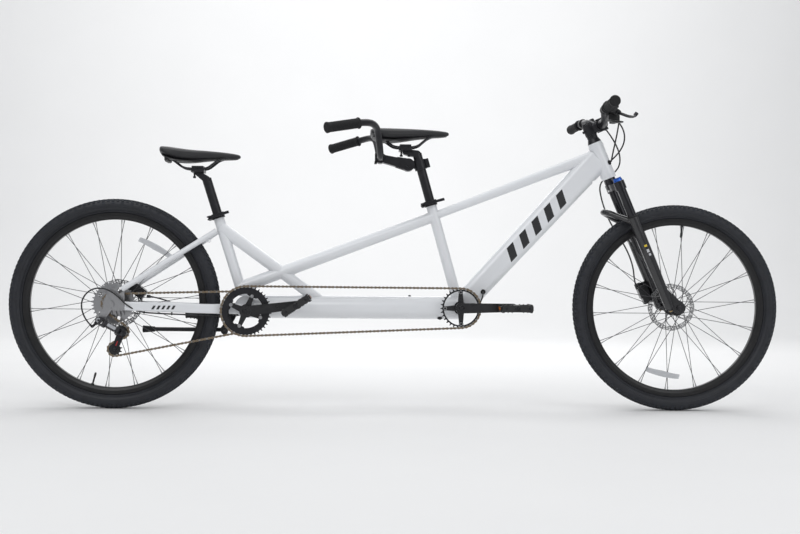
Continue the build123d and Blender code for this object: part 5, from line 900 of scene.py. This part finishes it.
def pedal(name, body, bb, deg, side, tilt):
    a = math.radians(deg)
    s = 1 if side < 0 else -1
    cx, cz = bb[0] + s * 170 * math.cos(a), bb[1] + s * 170 * math.sin(a)
    ti = math.radians(tilt)
    u = np.array([math.cos(ti), 0, math.sin(ti)])
    w = np.array([-math.sin(ti), 0, math.cos(ti)])
    y = np.array([0, float(side), 0])
    o = np.array([cx, side * 80.0, cz])

    def P(x, yy, z):
        return o + u * x + y * yy + w * z
    t = Mesh()
    for sx in (1, -1):
        # reflector and its dark bezel on the front and rear bars
        t.mi = 0
        t.prism([(-25, -4.6), (-24, -5.6), (24, -5.6), (25, -4.6), (25, 4.6), (24, 5.6), (-24, 5.6), (-25, 4.6)], P(sx * 51.4, 57, 0), y, w, u * sx, 0.9)
        t.mi = 1
        for (y0, z0, y1, z1) in ((-27, 5.6, 27, 7.4), (-27, -7.4, 27, -5.6), (-27, -5.6, -25, 5.6), (25, -5.6, 27, 5.6)):
            t.prism([(y0, z0), (y1, z0), (y1, z1), (y0, z1)], P(sx * 51.2, 57, 0), y, w, u * sx, 1.7)
        # grip teeth along both bars, top and bottom
        for zz in (1, -1):
            for k in range(9):
                yy = 14 + k * 10.6
                t.prism([(-3.0, 0), (3.0, 0), (1.6, 2.6), (-1.6, 2.6)], P(sx * 45 - 2.2, yy, zz * 10.9), y, w * zz, u, 4.4)
            for k in range(3):
                t.mi = 2
                t.lathe(P(sx * (18 + 13 * k), 101.5, zz * 10.8), w * zz, [(0, 2.3), (1.4, 2.3), (1.9, 1.8), (1.0, 1.0), (1.0, 0.2)], 12)
                t.lathe(P(sx * (18 + 13 * k), 13.0, zz * 10.8), w * zz, [(0, 2.3), (1.4, 2.3), (1.9, 1.8), (1.0, 1.0), (1.0, 0.2)], 12)
                t.mi = 1
    t.mi = 2
    # dust cap and two screw heads outboard, washer inboard
    t.lathe(P(0, 104.6, 0), y, [(0, 9.6), (1.2, 9.4), (2.0, 8.4), (2.4, 6.4), (1.4, 5.8), (1.4, 0.2)], 36)
    for sx in (1, -1):
        t.lathe(P(sx * 36, 104.4, 0), y, [(0, 4.2), (1.6, 4.2), (2.1, 3.6), (0.9, 2.0), (0.9, 0.2)], 20)
    t.lathe(P(0, -13.6, 0), -y, [(0, 6.6), (0.6, 6.8), (1.2, 6.2), (0.2, 3.6), (0.2, 0.2)], 24)
    t.obj(name + "_details", ["amber", "plastic", "bolt"], body, smooth=35)


pedal("front_right_pedal", "pedal_fr", BF, 1.0, -1, 0.0)
pedal("front_left_pedal", "pedal_fl", BF, 1.0, 1, 4.0)
pedal("rear_right_pedal", "pedal_rr", BR, 7.4, -1, 33.0)
pedal("rear_left_pedal", "pedal_rl", BR, 7.4, 1, -6.0)

# ============================================== crank bolts, cassette and axle ends
for nm, body, c, deg, sp, y0 in (("front_crank", "front_crank", BF, 1.0, 0.0, -61.04), ("rear_crank", "rear_crank", BR, 7.4, 60.0, -62.64)):
    t = Mesh()
    for k in range(4):
        a = math.radians(deg + sp) + math.pi / 2 * k
        t.lathe((c[0] + 52 * math.cos(a), y0 - 0.9, c[1] + 52 * math.sin(a)), (0, -1, 0), [(0, 5.8), (0.9, 5.8), (1.4, 5.2), (1.4, 4.0), (-0.2, 3.4), (-0.2, 0.2)], 24)
    t.mi = 1
    for sg in (1, -1):
        t.lathe((c[0], sg * 83.5, c[1]), (0, sg, 0), [(0, 9.6), (1.0, 9.6), (1.8, 8.8), (2.2, 7.6), (0.8, 6.6), (0.8, 4.6), (-1.0, 4.4), (-1.0, 0.2)], 36)
    t.obj(nm + "_bolts", ["steel", "bolt"], body, smooth=35)
t = Mesh()
t.lathe((AR[0], -60.4, AR[1]), (0, -1, 0), [(0, 17), (0.3, 17.4), (1.6, 17.4), (2.0, 16.8), (2.0, 10.2), (0, 10.0)], 60, close=True)
for k in range(12):
    a = 2 * math.pi * k / 12
    t.rod((AR[0] + 13.4 * math.cos(a), -62.0, AR[1] + 13.4 * math.sin(a)), (AR[0] + 13.4 * math.cos(a), -62.9, AR[1] + 13.4 * math.sin(a)), 1.3, n=8)
t.obj("cassette_lockring", "steel", "cassette_body", smooth=35)

# derailleur trim: outer cap, stripe, pulley caps
t = Mesh()
t.mi = 0
t.lathe((-961.9, -94.4, 292.3), (0, -1, 0), [(0, 8.2), (0.9, 8.0), (1.5, 6.8), (0.6, 4.6), (0.6, 3.0), (-0.6, 2.8), (-0.6, 0.2)], 30)
t.mi = 1
bpv = np.array([-943.5, -92.0, 281.5])
ld = np.array([65.9, 18, -38.3])
ld /= np.linalg.norm(ld)
shd = np.array([0, 0.9, -0.436])
shd = shd - ld * np.dot(shd, ld)
shd /= np.linalg.norm(shd)
lax = np.cross(ld, shd)
t.obj("derailleur_trim", ["grey", "red"], "frame", smooth=35)
t = Mesh()
t.prism([(-15, -4.2), (-12, -5.4), (12, -5.4), (15, -4.2), (15, 4.2), (12, 5.4), (-12, 5.4), (-15, 4.2)], bpv + ld * 24 - shd * 7.1, ld, lax, -shd, 1.4)
t.obj("derailleur_link_cap", "grey", "mech_links", smooth=35, bevel=0.5)
t = Mesh()
for c in (GD, TN):
    t.mi = 0
    t.lathe((c[0], -59.9, c[1]), (0, -1, 0), [(0, 4.8), (0.8, 4.6), (1.2, 3.8), (0.2, 2.2), (0.2, 0.2)], 20)
t.mi = 1
t.prism([(-8, -1.6), (8, -1.6), (8, 1.6), (-8, 1.6)], (TN[0] + 7.4, -58.5, TN[1] + 19), (0.36, 0, 0.93), (-0.93, 0, 0.36), (0, -1, 0), 0.35)
t.obj("derailleur_cage_trim", ["bolt", "red"], "mech_cage", smooth=35)

# ======================================================= seat clamps and posts
for nm, bb, deg, top, body in (("front", BF, 74.1, 364.0, "frame"), ("rear", BR, 72.3, 331.0, "frame")):
    t = Mesh()
    up = np.array([-math.cos(math.radians(deg)), 0, math.sin(math.radians(deg))])
    xd = np.array([math.sin(math.radians(deg)), 0, math.cos(math.radians(deg))])
    o = seat_point(bb, deg, top) - up * 13 - xd * 27 + up * 9
    t.lathe(o + np.array([0, 19.4, 0]), (0, 1, 0), [(0, 5.9), (0.8, 5.9), (1.4, 5.2), (1.4, 3.4), (0.2, 3.0), (0.2, 0.2)], 24)
    # pinch lines rolled round the collar
    for z in (1.6, 15.4):
        t.lathe(seat_point(bb, deg, top) - up * 13 + up * z, up, [(-0.5, 21.2), (-0.3, 21.8), (0.3, 21.8), (0.5, 21.2)], 60)
    t.obj(nm + "_collar_trim", "bolt", body, smooth=35)
# height marks on each post
for nm, bb, deg, d0, body in (("front", BF, 74.1, 385.0, "front_post"), ("rear", BR, 72.3, 352.0, "rear_post")):
    t = Mesh()
    up = np.array([-math.cos(math.radians(deg)), 0, math.sin(math.radians(deg))])
    xd = np.array([math.sin(math.radians(deg)), 0, math.cos(math.radians(deg))])
    R = 15.52

    def q(ang, d):
        return seat_point(bb, deg, d) - xd * R * math.cos(ang) + np.array([0, -R * math.sin(ang), 0])
    for k in range(12):
        d = d0 + k * 5.0
        wdt = 0.16 if k % 2 else 0.26
        t.add([q(0.2 + a, d + dd) for dd in (0, 0.7) for a in np.linspace(0, wdt, 4)], [(i, i + 1, 5 + i, 4 + i) for i in range(3)])
    t.obj(nm + "_post_marks", "pale", body, smooth=60)

# kickstand foot and pivot bolt
t = Mesh()
D0 = np.array([-1, 0.055, 0.0])
D0 /= np.linalg.norm(D0)
KP = np.array([-578, 52, 257.0])
prof = [(232, 7.2), (233, 8.6), (236, 9.0)]
for k in range(6):
    d = 238 + k * 4.4
    prof += [(d, 9.1 + 0.42 * k), (d + 2.6, 9.3 + 0.42 * k), (d + 3.0, 8.7 + 0.42 * k), (d + 4.0, 8.7 + 0.42 * k)]
prof += [(266, 11.4), (270, 12.2), (271.6, 11.6), (272, 9.0)]
t.lathe(KP, D0, prof, 36)
t.obj("kickstand_foot", "rubber", "kickstand", smooth=35)
KA = np.array([0.1559, -0.980, -0.1247])
KA /= np.linalg.norm(KA)
t = Mesh()
t.lathe(KP + KA * 25.8, KA, [(0, 7.4), (1.0, 7.2), (1.6, 6.2), (0.4, 3.6), (0.4, 0.2)], 24)
t.obj("kickstand_pivot_bolt", "bolt", "frame", smooth=35)

# ============================================================== cables and hoses


def nurbs_points(pts, res=14):
    """The smooth line of a curve whose control points are the route's points."""
    cu = bpy.data.curves.new("route", "CURVE")
    cu.dimensions = "3D"
    sp = cu.splines.new("NURBS")
    sp.points.add(len(pts) - 1)
    for i, p in enumerate(pts):
        sp.points[i].co = (p[0] * S, p[1] * S, p[2] * S, 1.0)
    sp.order_u = 3
    sp.use_endpoint_u = True
    sp.resolution_u = res
    ob = bpy.data.objects.new("route", cu)
    scn.collection.objects.link(ob)
    bpy.context.view_layer.update()
    me = bpy.data.meshes.new_from_object(ob)
    line = [tuple(v.co) for v in me.vertices]
    bpy.data.objects.remove(ob)
    bpy.data.curves.remove(cu)
    bpy.data.meshes.remove(me)
    return line


def hose(name, pts, r, nodes=(), body=None, blend=None):
    line = nurbs_points(pts)
    t = Mesh()
    t.tube([(p[0] / S, p[1] / S, p[2] / S) for p in line], r, n=14)
    ob = t.obj(name, "cable", body, nodes, smooth=60)
    if blend:
        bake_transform(ob)
    ln = sum(math.dist(line[i], line[i + 1]) for i in range(len(line) - 1))
    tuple(line[0])
    print("CORD", name, round(ln, 4))
    return ob


PORT = fl(17.5, -18.0, -70.0)
BRAKE_HOSE = [fl(53, 118, 75.5), fl(58, 80, 66), fl(62, 44, 46), fl(63, 16, 14), fl(66, 4, -22), fl(66, 6, -60), fl(55, 20, -94), fl(28, 37, -111), fl(-4, 40, -112), fl(-30, 43, -130), fl(-39, 45, -168), fl(-43, 46, -214), fl(-42, 48, -262), fl(-31, 54, -310), fl(-24, 57, -350), fl(-21, 58, -392), fl(-25, 58, -434), fl(-36, 55, -466), fl(-40, 52.5, -486)]
SHIFT_HOUSING = [fl(62, -186, 88), fl(72, -158, 70), fl(74, -122, 46), fl(66, -88, 18), fl(52, -58, -14), fl(36, -36, -44), PORT + np.array([4.5, -5, 2])]
REAR_HOSE = [fl(53, -118, 75.5), fl(68, -98, 58), fl(83, -82, 30), fl(88, -68, 0), fl(80, -52, -28), fl(58, -38, -50), fl(34, -27, -62), PORT + np.array([3.0, -2.0, 4.0])]
SHIFT_LOOP = [(-560, -24, 305), (-640, -46.5, 309.5), (-720, -54, 311.5), (-790, -60, 314.5), (-838, -68, 318.5), (-876, -80, 340), (-905, -88, 372), (-938, -93, 394), (-974, -95, 396), (-1004, -94, 378), (-1019, -91, 346), (-1013, -87, 310), (-997, -84, 283.5), (-983, -83, 270)]
REAR_CAL_HOSE = [(-560, 20, 307), (-620, 47, 309), (-680, 60, 316), (-730, 66, 334), (-762, 68, 349), (-800, 66.5, 361), (-826, 64.5, 366.0)]
CRANK_HOUSING = [(282, -30, 392), (279, -46, 380), (274, -50, 364), (262, -46, 344), (246, -34, 326)]


def m3(p):
    return tuple(float(c) * S for c in p)


hose("front_brake_hose_line", BRAKE_HOSE, 2.5, ["front_brake_hose"], blend=("steering", "fork_slider", m3(fl(-39, 45, -168)), m3(fl(-24, 57, -400))))
hose("shift_housing_front", SHIFT_HOUSING, 2.5, ["bar_cables"], blend=("steering", "frame", m3(fl(72, -150, 64)), m3(PORT)))
hose("rear_brake_hose_front", REAR_HOSE, 2.5, blend=("steering", "frame", m3(fl(68, -98, 58)), m3(PORT)))
hose("shift_housing_rear", SHIFT_LOOP, 2.5, ["cable_run"], body="frame")
hose("rear_brake_hose_rear", REAR_CAL_HOSE, 2.5, body="frame")
hose("crank_housing", CRANK_HOUSING, 2.5, body="frame")

t = Mesh()
axis0 = fl(0, 0, -70)
pd = PORT - axis0
pd /= np.linalg.norm(pd)
t.lathe(PORT - pd * 1.0, pd, [(0, 8.4), (1.6, 8.2), (2.8, 7.0), (3.4, 5.6), (3.4, 0.2)], 30)
for p, d, r in (((282, -26.6, 392), (0, -1, 0), 7.5), ((139.9, -20, 304.0), (0.0, -0.4, -0.9), 8.0), ((139.9, 20, 304.0), (0, 0.4, -0.9), 8.0), ((39.8, 0, 375.0), (0, 0, 1), 4.5)):
    t.lathe(p, d, [(0, r + 0.8), (1.6, r + 0.4), (3.0, r - 1.2), (4.0, r - 2.6), (4.0, 0.2)], 30)
# ties that hold the housing under the chainstay, and a sleeve at its rear end
for x, y, z in ((-650, -47.3, 309.7), (-735, -55.2, 312.0), (-822, -65.4, 317.0)):
    t.lathe((x - 2.2, y, z), (1, 0, 0), [(0, 2.6), (0.2, 3.7), (4.2, 3.7), (4.4, 2.6)], 18)
    t.prism([(-2, -2), (2, -2), (2, 2), (-2, 2)], (x, y, z + 3.2), (1, 0, 0), (0, 1, 0), (0, 0, 1), 3.4)
t.lathe((-983, -83, 270), (-0.70, -0.05, 0.70), [(-1.5, 3.9), (0, 4.1), (7, 3.9), (8, 3.3), (11, 3.1), (11.6, 2.6)], 20)
t.obj("cable_fittings", "rubber", "frame", smooth=35)

# =========================================================== floor and lights
g = bmesh.new()
prof = [(-9.0, 0.0), (4.0, 0.0)] + [(4.0 + 2.5 * math.sin(a), 2.5 - 2.5 * math.cos(a)) for a in np.linspace(0.08, math.pi / 2, 18)] + [(6.5, 9.0)]
prev = None
for y, z in prof:
    row = [g.verts.new((x, y, z)) for x in np.linspace(-14, 14, 15)]
    if prev:
        for i in range(14):
            g.faces.new((prev[i], prev[i + 1], row[i + 1], row[i]))
    prev = row
me = bpy.data.meshes.new("studio_floor")
g.to_mesh(me)
g.free()
me.materials.append(M["floor"])
me.polygons.foreach_set("use_smooth", [True] * len(me.polygons))
fl_ob = bpy.data.objects.new("studio_floor", me)
scn.collection.objects.link(fl_ob)

world = bpy.data.worlds.new("studio")
world.use_nodes = True
world.node_tree.nodes["Background"].inputs["Color"].default_value = (0.95, 0.97, 1.0, 1)
world.node_tree.nodes["Background"].inputs["Strength"].default_value = 0.42
scn.world = world


def area(name, loc, target, size, power, color=(1, 1, 1)):
    d = bpy.data.lights.new(name, "AREA")
    d.shape = "RECTANGLE"
    d.size, d.size_y = size
    d.energy = power
    d.color = color
    o = bpy.data.objects.new(name, d)
    o.location = loc
    o.rotation_mode = "QUATERNION"
    o.rotation_quaternion = (Vector(target) - Vector(loc)).to_track_quat("-Z", "Y")
    scn.collection.objects.link(o)


area("key", (-1.8, -3.4, 3.4), (0, 0, 0.5), (3.6, 2.0), 56)
area("fill", (2.6, -3.0, 2.4), (0.2, 0, 0.5), (2.4, 2.0), 26)
area("top", (0, 0.4, 3.6), (0, 0, 0.4), (5.0, 2.4), 52)
area("back", (0.5, 3.2, 2.6), (0, 0, 0.6), (4.0, 1.6), 26)
area("wash", (0, 2.6, 4.2), (0, 6.0, 2.2), (7.0, 2.0), 150)
scn.view_settings.view_transform = "Standard"
scn.view_settings.look = "None"
scn.view_settings.exposure = 0.0
